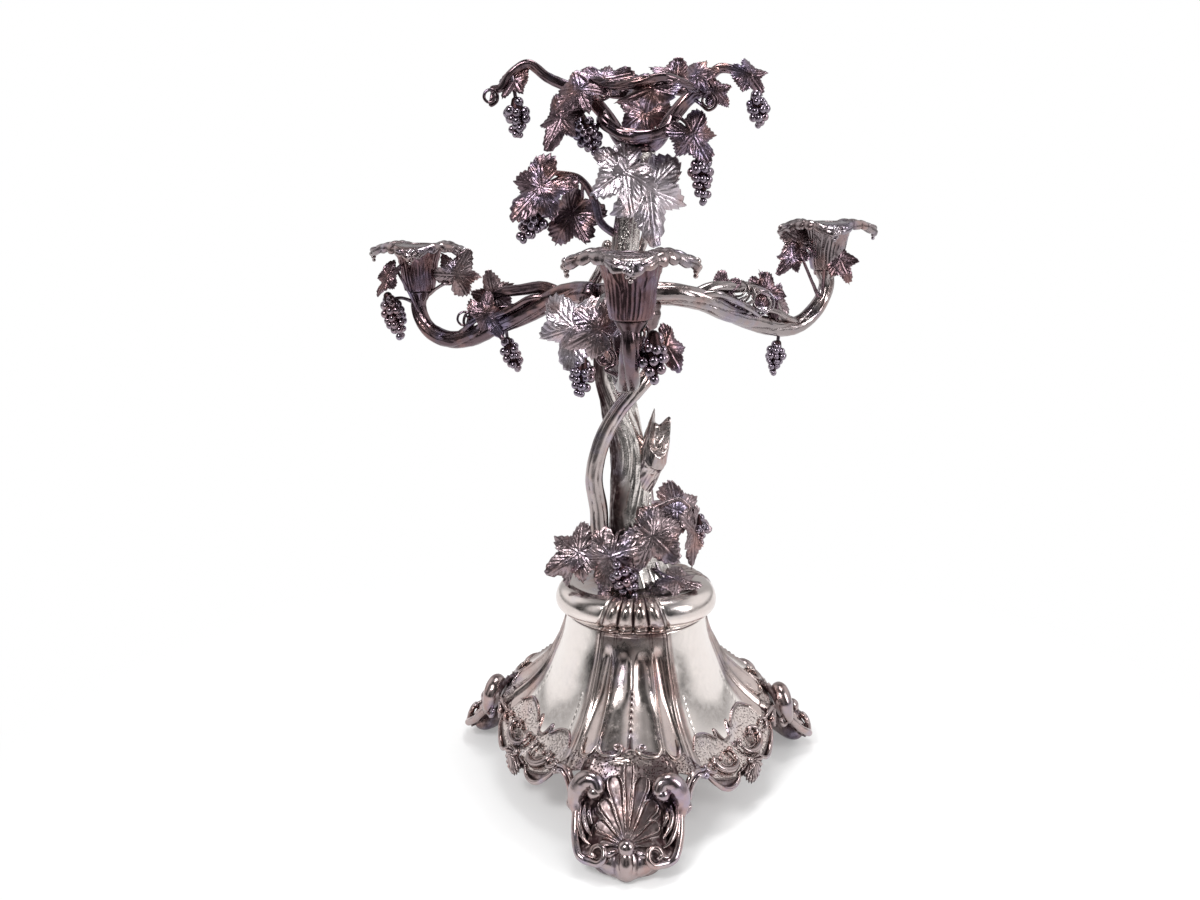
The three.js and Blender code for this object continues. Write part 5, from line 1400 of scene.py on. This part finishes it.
def build_arm(name, azimuth, material, leaf_material, grape_material):
    """A branch with its peg and cup seat, and the foliage and tendrils on it."""
    body = "branch_" + name
    shape = Shape()
    line = Route([arm_point(azimuth, *row) for row in ARM_BENDS])
    tube(shape, line, ARM_RADII, 72, 1.0, grooved(azimuth + 7, 3, 0.075, 2.2))
    for number, (begin, rows, end) in enumerate(ARM_SHOOTS[name]):
        over = [off(line.along(share), *away) for share, *away in rows]
        route = Route([line.along(begin), *over, line.along(end)])
        tube(shape, route, [3.6, 3.2, 2.8, 2.4, 2.0], 28, 1.0, grooved(number + azimuth, 2, 0.1, 0.7))
    strand = Route([arm_point(azimuth, *row) for row in STRAND_BENDS])
    tube(shape, strand, [5, 5, 4, 3.5], 32, 1.1, grooved(azimuth + 9, 3, 0.07, 0.8))
    seat = cup_seat(azimuth)
    add_arm_root(shape, azimuth)
    add_cup_seat(shape, seat)
    for share, size in ARM_KNOTS:
        knot = line.along(share)
        ball(shape, off(knot, 0, -6.2 if name != "front" else -2.0, 1.5), size, 10, 18, 0.9, 0.3)
    shape.piece("bark_arm_" + name, material, body, "arm_" + name, slot="dark_silver")
    for leaf, share, joint, tip, face, width, seed in ARM_LEAVES[name]:
        root = line.along(share)
        towards = unit((off(root, *joint) - seat) * [1, 1, 0])
        under_cup = seat + towards * (CUP_SEAT_RADIUS - 1.5) - [0, 0, 3]
        leaf_piece(leaf, body, leaf_material, root, joint, tip, face, width, seed, slot="dark_silver",
                   stalk=under_cup if leaf.startswith("cup") else None)
    for bunch, share, top, tip, width in ARM_BUNCHES[name]:
        bunch_piece(bunch, body, grape_material, line.along(share), top, tip, width)
    share, reach, loop, rise = ARM_TENDRILS[name]
    shape = Shape()
    add_tendril(shape, line.along(share), reach, loop, rise)
    for start, far, size, lift in ARM_CURLS[name]:
        add_tendril(shape, line.along(start), far, size, lift, 1.1)
    shape.piece("curled_tendril_" + name, material, body, "tendril_" + name, slot="dark_silver")
    shape = Shape()
    for start, joint, tip, face, width, seed in ARM_SMALL_LEAVES[name]:
        add_leaf(shape, joint, tip, face, width, seed=seed, columns=168, rows=22)
        leaf_stalk(shape, line.along(start), joint, tip)
    # The small leaves take the shaded copy of leaf silver: painted shade.
    shape.piece("small_leaves_" + name, shaded_leaf_silver, body, slot="dark_silver")


CUP_ROWS = np.array([[0, 0], [0.25, 0.2], [0.55, 0.34], [0.8, 0.6], [1, 1]])
PAN_RIM = [
    # inward from the rim, up, share of the folds' swell and of their hang, darkness
    (4.6, -1.4, 0.1, 0.4, 0.85), (3.4, -2.4, 0.2, 0.9, 0.7), (1.6, -3.4, 0.6, 1.0, 0.5),
    (0.2, -3.0, 1.0, 1.0, 0.3), (-0.6, -1.8, 1.1, 0.8, 0.2), (-0.6, -0.4, 1.0, 0.35, 0.3),
    (0.2, 0.9, 0.9, 0.1, 0.15), (1.4, 2.0, 0.6, -0.15, 0.1), (3.0, 2.4, 0.3, -0.25, 0.2),
    (4.6, 1.9, 0.1, -0.15, 0.55), (6.0, 1.3, 0.0, 0.0, 0.4)]
PAN_BERRIES = [
    # outward from the corner, across, up, radius
    (-3.0, -3.0, 1.4, 2.3), (-3.0, 3.0, 1.4, 2.3), (-0.8, 0, 1.2, 2.6), (-5.0, 0, 2.2, 2.4),
    (-1.2, -3.6, -1.6, 2.1), (-1.2, 3.6, -1.6, 2.1), (0.2, 0, -2.4, 2.4),
    (-4.0, -6.2, 0.6, 1.9), (-4.0, 6.2, 0.6, 1.9),
    (-1.4, -1.8, -5.2, 1.9), (-1.4, 1.8, -5.2, 1.9), (-1.6, 0, -8.0, 1.7)]
PAN_CURL = [(-9, 15, 4.2), (-5, 11.5, 3.0), (-3.2, 7.8, 2.0), (-5.8, 5.6, 3.0), (-7.8, 7.4, 3.6)]


def build_cup(name, azimuth, material):
    """A trumpet of veined petals, hollow from its mouth down to its floor."""
    shape = Shape()
    seat = cup_seat(azimuth)

    def wall(shares, sink):
        up, flare = through(CUP_ROWS, shares).T
        return np.stack([CUP_BOTTOM_RADIUS + CUP_FLARE * flare - sink, seat[2] + CUP_HEIGHT * up], -1)
    outer = wall(even(60), 0)
    inner = wall(np.linspace(1, 0.3, 24), WALL + 0.6)
    inner = inner[inner[:, 1] > seat[2] + CUP_FLOOR + 1]
    inner[0, 1] = outer[-1, 1]
    floor = [[inner[-1, 0], seat[2] + CUP_FLOOR], [0.5, seat[2] + CUP_FLOOR]]
    foot = [[0.5, seat[2]], [CUP_BOTTOM_RADIUS - 1.4, seat[2]], [CUP_BOTTOM_RADIUS - 0.5, seat[2] + 0.5]]
    profile = np.concatenate([foot, outer[1:], inner, floor])
    outside = np.zeros(len(profile))
    outside[3:3 + len(outer) - 1] = 1
    coat = bark(azimuth + 60, 4.5, 26, 0.7)

    def relief(height, turn):
        rise, dark = coat(height, turn)
        up = (height - seat[2]) / CUP_HEIGHT
        petal = np.abs(np.cos(4 * turn + 0.25 * np.sin(9 * up)))
        loop = bump(up, 0.40 + 0.34 * petal, 0.035)
        veins = np.cos(31 * turn + 2.4 * np.sin(4 * up + azimuth))
        creases = np.sqrt(np.abs(np.cos(4 * turn + 0.3 * np.sin(6 * up))))
        rise = 0.55 * rise + 0.26 * veins + 0.5 * loop + 0.55 * (creases - 0.8)
        dark = 0.4 * dark + 0.18 * ease(0.1, -0.8, veins) + 0.22 * (1 - ease(0.1, 0.5, creases))
        dark = dark + 0.25 * bump(up, 0.34 + 0.34 * petal, 0.03)
        fade = ease(0.0, 0.06, up) * outside[:, None]
        return rise * fade, np.clip(np.where(outside[:, None] > 0, dark, 0.5), 0, 1)
    turned(shape, seat, profile, 200, relief)
    shape.piece("trumpet_cup_" + name, material, "branch_" + name, "cup_" + name, slot="dark_silver")


def build_nozzle(name, azimuth, material):
    """A candle tube with a square drip pan, whose rim hangs in folds and droops at its corners."""
    shape = Shape()
    seat = cup_seat(azimuth)
    low = seat[2] + CUP_FLOOR + SEAT_GAP
    pan = seat[2] + CUP_HEIGHT + SEAT_GAP
    floor = low + NOZZLE_FLOOR
    sides = 240
    angle = circle(sides)
    corner = (0.5 + 0.5 * np.cos(4 * angle)) ** 1.5
    rim = PAN_RADIUS + PAN_CORNER * corner
    droop = PAN_DROOP * corner
    outside = CANDLE_RADIUS + NOZZLE_WALL
    rows = [
        (0.4, low, 0.6), (outside - 0.4, low, 0.5), (outside, low + 0.4, 0.5), (outside, pan - 4, 0.4),
        (outside + 2.5, pan - 1.8, 0.5)]
    for share in np.linspace(0.15, 1, 14):
        ribs = 0.55 * np.cos(32 * angle) * ease(0.25, 0.6, share)
        level = lerp(pan, pan - 0.9 - 0.72 * droop, share ** 2.2) - 0.4 * np.sin(np.pi * share) + ribs
        rows.append((lerp(outside + 3, rim - 6.6, share), level, 0.45 - 0.5 * ribs))
    drape = np.abs(np.cos(10 * angle + 0.7 * np.sin(3 * angle + azimuth))) ** 0.6
    crumple = noise(triple(9 * np.cos(angle), 9 * np.sin(angle), azimuth), 8)
    hang = 2.6 * drape + 1.0 * crumple
    swell = 1.3 * drape + 0.8 * crumple
    for inward, level, bulge, low_part, shade in PAN_RIM:
        fall = droop * lerp(0.72, 1.0, np.clip(1 - inward / 6, 0, 1))
        fold = shade + 0.55 * (0.6 - drape) + 0.25 * crumple
        rows.append((rim - 1.4 - inward + swell * bulge, pan + level - fall - hang * low_part, fold))
    for share in np.linspace(0.97, 0, 22):
        level = lerp(pan + 0.3, pan + 1.1 - 0.72 * droop, share ** 2.6) + 0.45 * bump(share, 0.78, 0.06)
        dark = 0.22 + 0.5 * bump(share, 0.66, 0.05) + 0.35 * bump(share, 0.93, 0.04)
        rows.append((lerp(20.0, rim - 7.0, share), level, dark))
    rows += [
        (16.0, pan + 0.3, 0.2), (13.6, pan + 1.0, 0.25), (12.8, pan + 1.3, 0.3), (11.9, pan + 1.0, 0.5),
        (CANDLE_RADIUS, pan - 0.2, 0.8), (CANDLE_RADIUS, pan - 14, 1.0), (CANDLE_RADIUS, floor + 0.4, 1.0),
        (CANDLE_RADIUS - 0.4, floor, 1.0), (0.4, floor, 1.0)]
    radius, level, dark = (np.array([np.broadcast_to(row[k], sides) for row in rows]) for k in range(3))
    upright(shape, seat, radius, level, np.clip(dark, 0, 1), 0.0, 0.05, (0.6, 1.0))
    build_pan_corners(shape, seat, pan)
    shape.piece("drip_pan_" + name, material, "nozzle_" + name, "nozzle_" + name)


def build_pan_corners(shape, seat, pan):
    """A little bunch of berries and two curls at each drooping corner of a pan."""
    for quarter in range(4):
        turn = quarter * math.pi / 2
        ahead = np.array([math.cos(turn), math.sin(turn), 0])
        side = np.array([-math.sin(turn), math.cos(turn), 0])
        corner = np.array([seat[0], seat[1], pan - PAN_DROOP]) + ahead * (PAN_RADIUS + PAN_CORNER)
        for out, across, lift, size in PAN_BERRIES:
            place = corner + ahead * (out - 1.0) + side * across + [0, 0, lift]
            ball(shape, place, size, 9, 14, 1.0, 0.15, 0.2)
        for way in (-1, 1):
            points = [corner + ahead * a + side * way * b + [0, 0, c] for a, b, c in PAN_CURL]
            tube(shape, Route(points), [1.0, 1.6, 1.7, 1.4, 1.1], 12, 0.8)


# Basket of vine limbs
LIMB_BENDS = [(0, 0.06), (0.22, 0.2), (0.42, 0.48), (0.7, 0.8), (1, 1)]
LEFT_ARCH = [(-74, 0, 58), (-89, 0, 68), (-103, 0, 61), (-112, 2, 50), (-118, 4, 49)]
RIGHT_ARCH = [(55, -2, 57), (63, 0, 64), (74, 0, 63), (88, 0, 58)]
BASKET_SMALL_LEAVES = [
    # the line its stalk springs from, with a share of it or the number of an arch's point, joint, tip,
    # face, width, seed
    ("left", 0.7, (-57, -28, 583), (-72, -34, 549), (-0.4, -0.9, 0.3), 32, 0.5),
    ("ring", 0.22, (-40, -38, 599), (-63, -48, 577), (-0.3, -0.9, 0.5), 34, 1.4),
    ("ring", 0.12, (-40, 18, 603), (-4, 24, 611), (-0.1, -0.9, 0.6), 32, 2.3),
    ("ring", 0.45, (22, -52, 596), (-18, -58, 584), (0.0, -0.9, 0.6), 28, 3.7),
    ("ring", 0.02, (12, 10, 584), (-18, 4, 564), (0.1, -1, 0.5), 34, 4.6),
    ("right", 0.85, (54, -8, 599), (72, -12, 582), (0.3, -1, 0.3), 22, 5.4),
    ("right", 0.95, (39, -12, 604), (60, -20, 609), (0.1, -0.9, 0.6), 28, 0.9),
    ("rear", 0.9, (2, 48, 604), (-14, 60, 586), (-0.2, 0.9, 0.5), 32, 1.9),
    ("rear", 0.6, (10, 34, 586), (26, 50, 566), (0.3, 0.9, 0.4), 32, 2.9),
    ("left_arch", 2, (-96, 1, 610), (-110, -6, 590), (-0.4, -0.9, 0.3), 22, 3.3),
    ("right_arch", 3, (80, -1, 613), (99, -7, 592), (0.3, -0.9, 0.3), 24, 4.9)]
BASKET_BUNCHES = [
    # name, line, share or point, top, tip, width
    ("basket_grapes_left", "left_arch", 2, (4, -2, -22), (5, -2, -50), 21),
    ("basket_grapes_middle", "left", 0.8, (-8, -12, -14), (6, -12, -46), 21),
    ("basket_grapes_right", "right_arch", 3, (4, 0, -14), (8, 0, -38), 19),
    ("basket_grapes_hanging", "right", 0.45, (24, -8, -26), (27, -8, -66), 19)]


def limb_route(azimuth):
    points = []
    for out, rise in LIMB_BENDS:
        points.append(spot(azimuth, lerp(4, RING_RADIUS, out), 0, CROWN_FOOT + rise * RING_RISE))
    return Route(points)


def ring_route():
    points = []
    for azimuth in np.linspace(RING_START, RING_START + RING_TURN, 17):
        out = RING_RADIUS + 4 * math.sin(math.radians(3 * azimuth + 40))
        height = CROWN_FOOT + RING_RISE + 3 * math.sin(math.radians(5 * azimuth))
        points.append(spot(azimuth, out, 0, height))
    return Route(points)


def add_basket_peg(shape):
    """The plain peg that stands in the stem, and the knuckle over it that the limbs spring from."""
    low = CROWN_FOOT - BASKET_PEG_LENGTH
    coat = bark(61, 3, 10, 0.8)

    def relief(height, turn):
        rise, dark = coat(height, turn)
        return rise * ease(CROWN_FOOT + 0.2, CROWN_FOOT + 3, height), dark
    profile = [
        [PEG_RADIUS - 1, low + 0.02], [PEG_RADIUS, low + 1], [PEG_RADIUS, CROWN_FOOT - 1],
        [PEG_RADIUS, CROWN_FOOT], [11.2, CROWN_FOOT], [12, CROWN_FOOT + 0.8]]
    profile += [[lerp(12, 8, k / 10) + 0.8 * math.sin(k), CROWN_FOOT + 1.4 + 1.2 * k] for k in range(11)]
    profile += [[4, CROWN_FOOT + 14]]
    turned(shape, (0, 0), profile, 72, relief)


def build_basket(material, leaf_material, grape_material):
    """Three limbs under a ring of vine with two arches, and the leaves and bunches on them."""
    shape = Shape()
    left, right, rear = (limb_route(azimuth) for azimuth in LIMB_AZIMUTHS)
    for number, line in enumerate((left, right, rear)):
        tube(shape, line, [7, 6, 5.5, 4.8], 48, 1.0, grooved(20 + number, 3, 0.06, 1.1))
        for share in (0.35, 0.62, 0.86):
            ball(shape, off(line.along(share), 0, -3.6, 1.2), 2.4, 9, 16, 0.9, 0.2)
    ring = ring_route()
    tube(shape, ring, [3.8, 2.9, 3.7, 2.9, 3.5, 2.8, 3.4, 2.3], 32, 1.0, grooved(27, 3, 0.09, 1.1))
    twin = Route([p + [0, 0, 2.6 * math.sin(1.9 * k)] + unit(p * [1, 1, 0]) * 2.4 * math.cos(1.9 * k)
                  for k, p in enumerate(ring.along(np.linspace(0.02, 0.98, 34)))])
    tube(shape, twin, [1.4, 1.7, 1.6, 1.7, 1.2], 12, 1.0, knobbly(6, 6, 0.25))
    left_points = [off((0, 0, CROWN_FOOT), *row) for row in LEFT_ARCH]
    right_points = [off((0, 0, CROWN_FOOT), *row) for row in RIGHT_ARCH]
    for seed, line, arch in ((33, left, left_points), (34, right, right_points)):
        route = Route([line.along(0.9), *arch])
        tube(shape, route, [4.5, 4, 3.4, 3], 32, 1.0, grooved(seed, 3, 0.08, 0.7))
    add_tendril(shape, left_points[-1], (-2, -3, -6), 6.5, -4, 1.3)
    add_basket_peg(shape)
    middle = [(-27, -11, 22), (-13, -14, 13), (4, -14, 12), (22, -12, 17)]
    bar = Route([left.along(0.55), *[(x, y, CROWN_FOOT + rise) for x, y, rise in middle], right.along(0.5)])
    tube(shape, bar, [4.4, 5.8, 4.7, 6.0, 4.5, 5.6, 4.0], 40, 1.0, grooved(36, 3, 0.07, 1.5))
    add_tendril(shape, left.along(0.75), (9, -10, 6), 6, 5, 1.1)
    add_tendril(shape, right.along(0.8), (14, -8, -4), 7, -5, 1.1)
    shape.piece("vine_basket", material, "basket", "basket_crown")
    lines = {"left": left, "right": right, "rear": rear, "ring": ring}
    arches = {"left_arch": left_points, "right_arch": right_points}
    build_basket_foliage(lines, arches, leaf_material, grape_material)


def build_basket_foliage(lines, arches, leaf_material, grape_material):
    """The small leaves as one piece, and each bunch and each large leaf as a piece of its own."""
    def root(name, place):
        return lines[name].along(place) if name in lines else arches[name][place]
    shape = Shape()
    for name, place, joint, tip, face, width, seed in BASKET_SMALL_LEAVES:
        leaf_stalk(shape, root(name, place), joint, tip)
        add_leaf(shape, joint, tip, face, width, seed=seed, columns=168, rows=22)
    shape.piece("basket_small_leaves", leaf_material, "basket", slot="dark_silver")
    for bunch, name, place, top, tip, width in BASKET_BUNCHES:
        bunch_piece(bunch, "basket", grape_material, root(name, place), top, tip, width)
    leaf_piece("basket_leaf_right", "basket", leaf_material, root("right", 0.5), (10, -12, -6),
               (26, -16, -32), (0.3, -0.9, 0.3), 32, 1.9)
    leaf_piece("basket_leaf_upright", "basket", leaf_material, root("ring", 0.95), (1, 1, 5), (4, 4, 24),
               (0.2, -1, 0.2), 34, 0.6, slot="dark_silver")


# Materials. Silver is kept mid-toned, with a dark oxide in its hollows that also carries painted shade, a
# pale tone that also carries painted light, and warm and cool stains.
PALE = (0.92, 0.855, 0.82)
OXIDE_AND_SHADE = (0.045, 0.024, 0.026)
WARM_STAIN = (0.40, 0.22, 0.19)
COOL_STAIN = (0.29, 0.27, 0.42)


class Graph:
    """The nodes of a material or of the world."""

    def __init__(self, owner):
        owner.use_nodes = True
        self.nodes = owner.node_tree.nodes
        self.links = owner.node_tree.links
        self.nodes.clear()

    def node(self, kind, inputs, **settings):
        made = self.nodes.new("ShaderNode" + kind)
        for setting, value in settings.items():
            setattr(made, setting, value)
        for key, value in inputs.items():
            socket = made.inputs[key]
            if isinstance(value, bpy.types.NodeSocket):
                self.links.new(value, socket)
            else:
                socket.default_value = (*value, 1) if socket.type == "RGBA" else value
        return made

    def sums(self, kind, a, b=0.0):
        return self.node("Math", {0: a, 1: b}, operation=kind).outputs[0]

    def ramp(self, value, low, high, begin=0.0, end=1.0, curve="LINEAR"):
        limits = {"Value": value, "From Min": low, "From Max": high, "To Min": begin, "To Max": end}
        return self.node("MapRange", limits, interpolation_type=curve).outputs["Result"]

    def smooth_ramp(self, value, low, high, begin, end):
        return self.ramp(value, low, high, begin, end, "SMOOTHSTEP")

    def mixed(self, factor, a, b):
        return self.node("Mix", {0: factor, 6: a, 7: b}, data_type="RGBA").outputs[2]

    def blend(self, factor, a, b):
        """One surface or background where the factor is 0 and the other where it is 1."""
        return self.node("MixShader", {0: factor, 1: a, 2: b}).outputs[0]


def silver(name, bright, rough, stain, grain, stipple=0.0):
    """Silver of a bright colour, with its roughness where clean and where dark, how much it is stained,
    how grainy it is and the size of its punched dots in millimetres."""
    material = bpy.data.materials.new(name)
    graph = Graph(material)
    sums, ramp, mixed = graph.sums, graph.ramp, graph.mixed
    place = graph.node("TexCoord", {}).outputs["Object"]

    def attribute(mark):
        return graph.node("Attribute", {}, attribute_type="GEOMETRY", attribute_name=mark).outputs["Fac"]

    def texture(scale, detail, rough, shift):
        moved = graph.node("Mapping", {"Vector": place, "Location": shift}).outputs["Vector"]
        inputs = {"Vector": moved, "Scale": scale, "Detail": detail, "Roughness": rough}
        return graph.node("TexNoise", inputs).outputs["Fac"]

    broad = texture(26, 3.0, 0.55, (0, 0, 0))
    fine = texture(190, 5.0, 0.6, (3, 1, 2))
    warm = texture(38, 4.0, 0.6, (7, 4, 1))
    cool = texture(31, 4.0, 0.6, (2, 9, 5))
    grit = texture(620, 3.0, 0.6, (5, 5, 5))
    tone = attribute("tone")
    colour = mixed(ramp(broad, 0.38, 0.62), bright, tuple(v * 0.86 for v in bright))
    colour = mixed(ramp(warm, 0.50, 0.68, 0.0, stain), colour, WARM_STAIN)
    colour = mixed(ramp(cool, 0.52, 0.70, 0.0, stain), colour, COOL_STAIN)
    # The tone pales the colour towards PALE: polish, and on the trunk and stem painted light.
    colour = mixed(ramp(tone, 0.0, 1.0, 0.0, 0.9), colour, PALE)
    spread = sums("ADD", attribute("dark"), ramp(fine, 0.35, 0.75, -0.22, 0.22))
    height = sums("ADD", sums("MULTIPLY", grit, grain), sums("MULTIPLY", fine, grain * 0.9))
    if stipple:
        cells = graph.node("TexVoronoi", {"Vector": place, "Scale": 1000 / stipple})
        dots = ramp(cells.outputs["Distance"], 0.22, 0.42)
        punched = attribute("stipple")
        holes = sums("MULTIPLY", sums("SUBTRACT", 1.0, dots), sums("MULTIPLY", punched, 0.8))
        spread = sums("ADD", spread, holes)
        height = sums("ADD", height, sums("MULTIPLY", dots, punched))
    # The dark mark gives oxide in the hollows and, in places, painted shade.
    tarnish_and_shade = sums("MULTIPLY", ramp(spread, 0.12, 0.78), ramp(tone, 0.0, 1.0, 1.0, 0.3))
    clean = ramp(fine, 0.3, 0.7, rough[0], rough[0] + 0.13)
    relief = graph.node("Bump", {"Height": height, "Strength": 0.55, "Distance": 0.0006})
    shader = graph.node("BsdfPrincipled", {
        "Base Color": mixed(tarnish_and_shade, colour, OXIDE_AND_SHADE),
        "Metallic": 1.0,
        "Roughness": sums("ADD", clean, ramp(tarnish_and_shade, 0.0, 1.0, 0.0, rough[1] - rough[0])),
        "Normal": relief.outputs["Normal"]})
    graph.node("OutputMaterial", {"Surface": shader.outputs["BSDF"]})
    return material


base_silver = silver("chased silver", (0.60, 0.505, 0.48), (0.14, 0.42), 0.5, 0.05, stipple=1.9)
foot_silver = silver("cast foot silver", (0.43, 0.35, 0.345), (0.15, 0.42), 0.6, 0.12, stipple=1.7)
bark_silver = silver("bark silver", (0.50, 0.43, 0.42), (0.13, 0.4), 0.6, 0.12, stipple=1.6)
arm_silver = silver("branch silver", (0.235, 0.175, 0.18), (0.13, 0.42), 0.5, 0.25)
leaf_silver = silver("leaf silver", (0.34, 0.265, 0.28), (0.2, 0.45), 0.6, 0.5)
# Lit and shaded copies of leaf silver: the paler one is painted light, the darker one below painted shade.
lit_leaf_silver = silver("lit leaf silver", (0.55, 0.485, 0.525), (0.24, 0.42), 0.5, 0.7)
cup_silver = silver("cup silver", (0.165, 0.098, 0.11), (0.16, 0.42), 0.4, 0.35)
shaded_leaf_silver = silver("shaded leaf silver", (0.175, 0.12, 0.14), (0.2, 0.45), 0.6, 0.5)
# Shaded and lit copies of branch silver: the darker one is painted shade, the paler one painted light.
shaded_branch_silver = silver("shaded branch silver", (0.16, 0.112, 0.125), (0.13, 0.42), 0.5, 0.25)
lit_branch_silver = silver("lit branch silver", (0.38, 0.33, 0.33), (0.13, 0.42), 0.5, 0.25)
grape_silver = silver("grape silver", (0.28, 0.235, 0.285), (0.08, 0.35), 0.4, 0.05)
pan_silver = silver("drip pan silver", (0.30, 0.25, 0.26), (0.13, 0.4), 0.5, 0.3)
fixing_steel = silver("turned steel", (0.45, 0.43, 0.41), (0.3, 0.5), 0.3, 0.2)


# The whole object
# Painted light and shade: the right branch and cup take the paler silvers, the left and front ones the
# darker.
ARM_COATS = {"left": (shaded_branch_silver, cup_silver), "front": (shaded_branch_silver, cup_silver),
             "right": (lit_branch_silver, pan_silver)}
build_dome(base_silver)
build_collar(base_silver)
for foot_name, foot_azimuth in FOOT_AZIMUTHS.items():
    build_foot(foot_name, foot_azimuth, foot_silver)
for apron_name, apron_azimuth in APRON_AZIMUTHS.items():
    build_apron(apron_name, apron_azimuth, foot_silver)
build_trunk(bark_silver)
build_stump(bark_silver)
build_vine(bark_silver)
build_hub(arm_silver)
build_stem(bark_silver)
build_root_foliage(leaf_silver, grape_silver)
for arm_name, arm_azimuth in ARM_AZIMUTHS.items():
    branch_coat, cup_coat = ARM_COATS[arm_name]
    build_arm(arm_name, arm_azimuth, branch_coat, leaf_silver, grape_silver)
    build_cup(arm_name, arm_azimuth, cup_coat)
    build_nozzle(arm_name, arm_azimuth, pan_silver)
# The basket takes the shaded copies of branch and leaf silver: painted shade.
build_basket(shaded_branch_silver, shaded_leaf_silver, grape_silver)
for fixing in ("tie_rod", "tie_washer", "tie_nut"):
    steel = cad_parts[fixing]
    steel.data.materials.clear()
    steel.data.materials.append(fixing_steel)


# Floor, world, lights and camera, in metres
FLOOR_RADIUS = 4.5


def build_floor():
    """A pale disc that takes the object's shadow and fades to white where it ends. Far in front it is
    dark in the silver's reflections."""
    mesh = bpy.data.meshes.new("floor")
    rim = [(FLOOR_RADIUS * math.cos(a), FLOOR_RADIUS * math.sin(a), 0.0) for a in circle(96)]
    mesh.from_pydata(rim, [], [tuple(range(len(rim)))])
    floor = bpy.data.objects.new("floor", mesh)
    bpy.context.scene.collection.objects.link(floor)
    material = bpy.data.materials.new("pale floor")
    graph = Graph(material)
    sums, ramp = graph.sums, graph.smooth_ramp
    matte = graph.node("BsdfDiffuse", {"Color": (0.93, 0.93, 0.93)}).outputs[0]
    white = graph.node("Emission", {"Color": (1, 1, 1), "Strength": 1.0}).outputs[0]
    far = graph.node("BsdfDiffuse", {"Color": (0.03, 0.03, 0.03)}).outputs[0]
    rays = graph.node("LightPath", {}).outputs
    place = graph.node("TexCoord", {}).outputs["Object"]
    distance = graph.node("VectorMath", {0: place}, operation="LENGTH").outputs["Value"]
    axes = graph.node("SeparateXYZ", {0: place}).outputs
    seen = sums("MAXIMUM", rays["Is Camera Ray"], rays["Is Glossy Ray"])
    faded = graph.blend(sums("MULTIPLY", seen, ramp(distance, 0.18, 0.62, 0.25, 1.0)), matte, white)
    corner = sums("MULTIPLY", ramp(axes["Y"], -0.95, -0.3, 0.93, 0.0), ramp(axes["X"], 0.05, 0.5, 1.0, 0.1))
    surface = graph.blend(sums("MULTIPLY", corner, rays["Is Glossy Ray"]), faded, far)
    graph.node("OutputMaterial", {"Surface": surface})
    mesh.materials.append(material)


WHITE_WALLS = [
    # degrees round the object, half width of the full white, half width where it ends, strength
    (-62, 16, 40, 1.0), (64, 18, 42, 1.0), (112, 6, 20, 0.9), (-126, 4, 13, 0.75), (176, 5, 14, 0.35)]


def build_world():
    """White to the camera. In the silver it shows as a room with white walls and dark gaps between them."""
    world = bpy.data.worlds.new("studio")
    bpy.context.scene.world = world
    graph = Graph(world)
    sums, ramp = graph.sums, graph.smooth_ramp

    def background(strength):
        return graph.node("Background", {"Color": (1, 1, 1), "Strength": strength}).outputs[0]
    aim = graph.node("TexCoord", {}).outputs["Generated"]
    parts = graph.node("SeparateXYZ", {0: aim}).outputs
    azimuth = sums("ARCTAN2", parts["X"], parts["Y"])
    walls = 0.05
    for middle, narrow, wide, strength in WHITE_WALLS:
        turned_away = sums("COSINE", sums("SUBTRACT", azimuth, math.radians(middle)))
        limits = (math.cos(math.radians(wide)), math.cos(math.radians(narrow)))
        walls = sums("MAXIMUM", walls, ramp(turned_away, *limits, 0.0, strength))
    low = ramp(parts["Z"], 0.0, 0.3, 0.3, 1.0)
    high = ramp(parts["Z"], 0.7, 0.93, 1.0, 0.3)
    room = sums("MULTIPLY", sums("MULTIPLY", walls, low), high)
    room = sums("MAXIMUM", room, ramp(parts["Y"], 0.45, 0.8, 0.0, 0.5))
    rays = graph.node("LightPath", {}).outputs
    unseen = graph.blend(rays["Is Glossy Ray"], background(0.62), background(room))
    surface = graph.blend(rays["Is Camera Ray"], unseen, background(1.0))
    graph.node("OutputWorld", {"Surface": surface})


def area_light(name, place, target, size, power, colour=(1, 1, 1)):
    lamp = bpy.data.lights.new(name, "AREA")
    lamp.shape = "RECTANGLE"
    lamp.size, lamp.size_y = size
    lamp.energy = power
    lamp.color = colour
    made = bpy.data.objects.new(name, lamp)
    made.location = place
    aim = np.array(target, float) - np.array(place, float)
    made.rotation_euler = mathutils.Vector(aim).to_track_quat("-Z", "Y").to_euler()
    bpy.context.scene.collection.objects.link(made)


def build_camera():
    lens = bpy.data.cameras.new("camera")
    lens.lens = CAMERA_LENS
    lens.sensor_width = 36
    camera = bpy.data.objects.new("camera", lens)
    camera.location = CAMERA_PLACE
    camera.rotation_euler = (math.radians(90 - CAMERA_DOWN), 0, math.radians(CAMERA_LEFT))
    bpy.context.scene.collection.objects.link(camera)
    bpy.context.scene.camera = camera


build_floor()
build_world()
area_light("key", (-0.7, -1.3, 1.5), (0, 0, 0.3), (0.5, 0.5), 18)
area_light("fill", (1.4, -0.7, 1.0), (0, 0, 0.3), (0.4, 0.9), 10)
area_light("top", (0.1, 0.2, 1.9), (0, 0, 0.3), (0.6, 0.6), 14)
build_camera()
bpy.context.scene.view_settings.view_transform = "Standard"
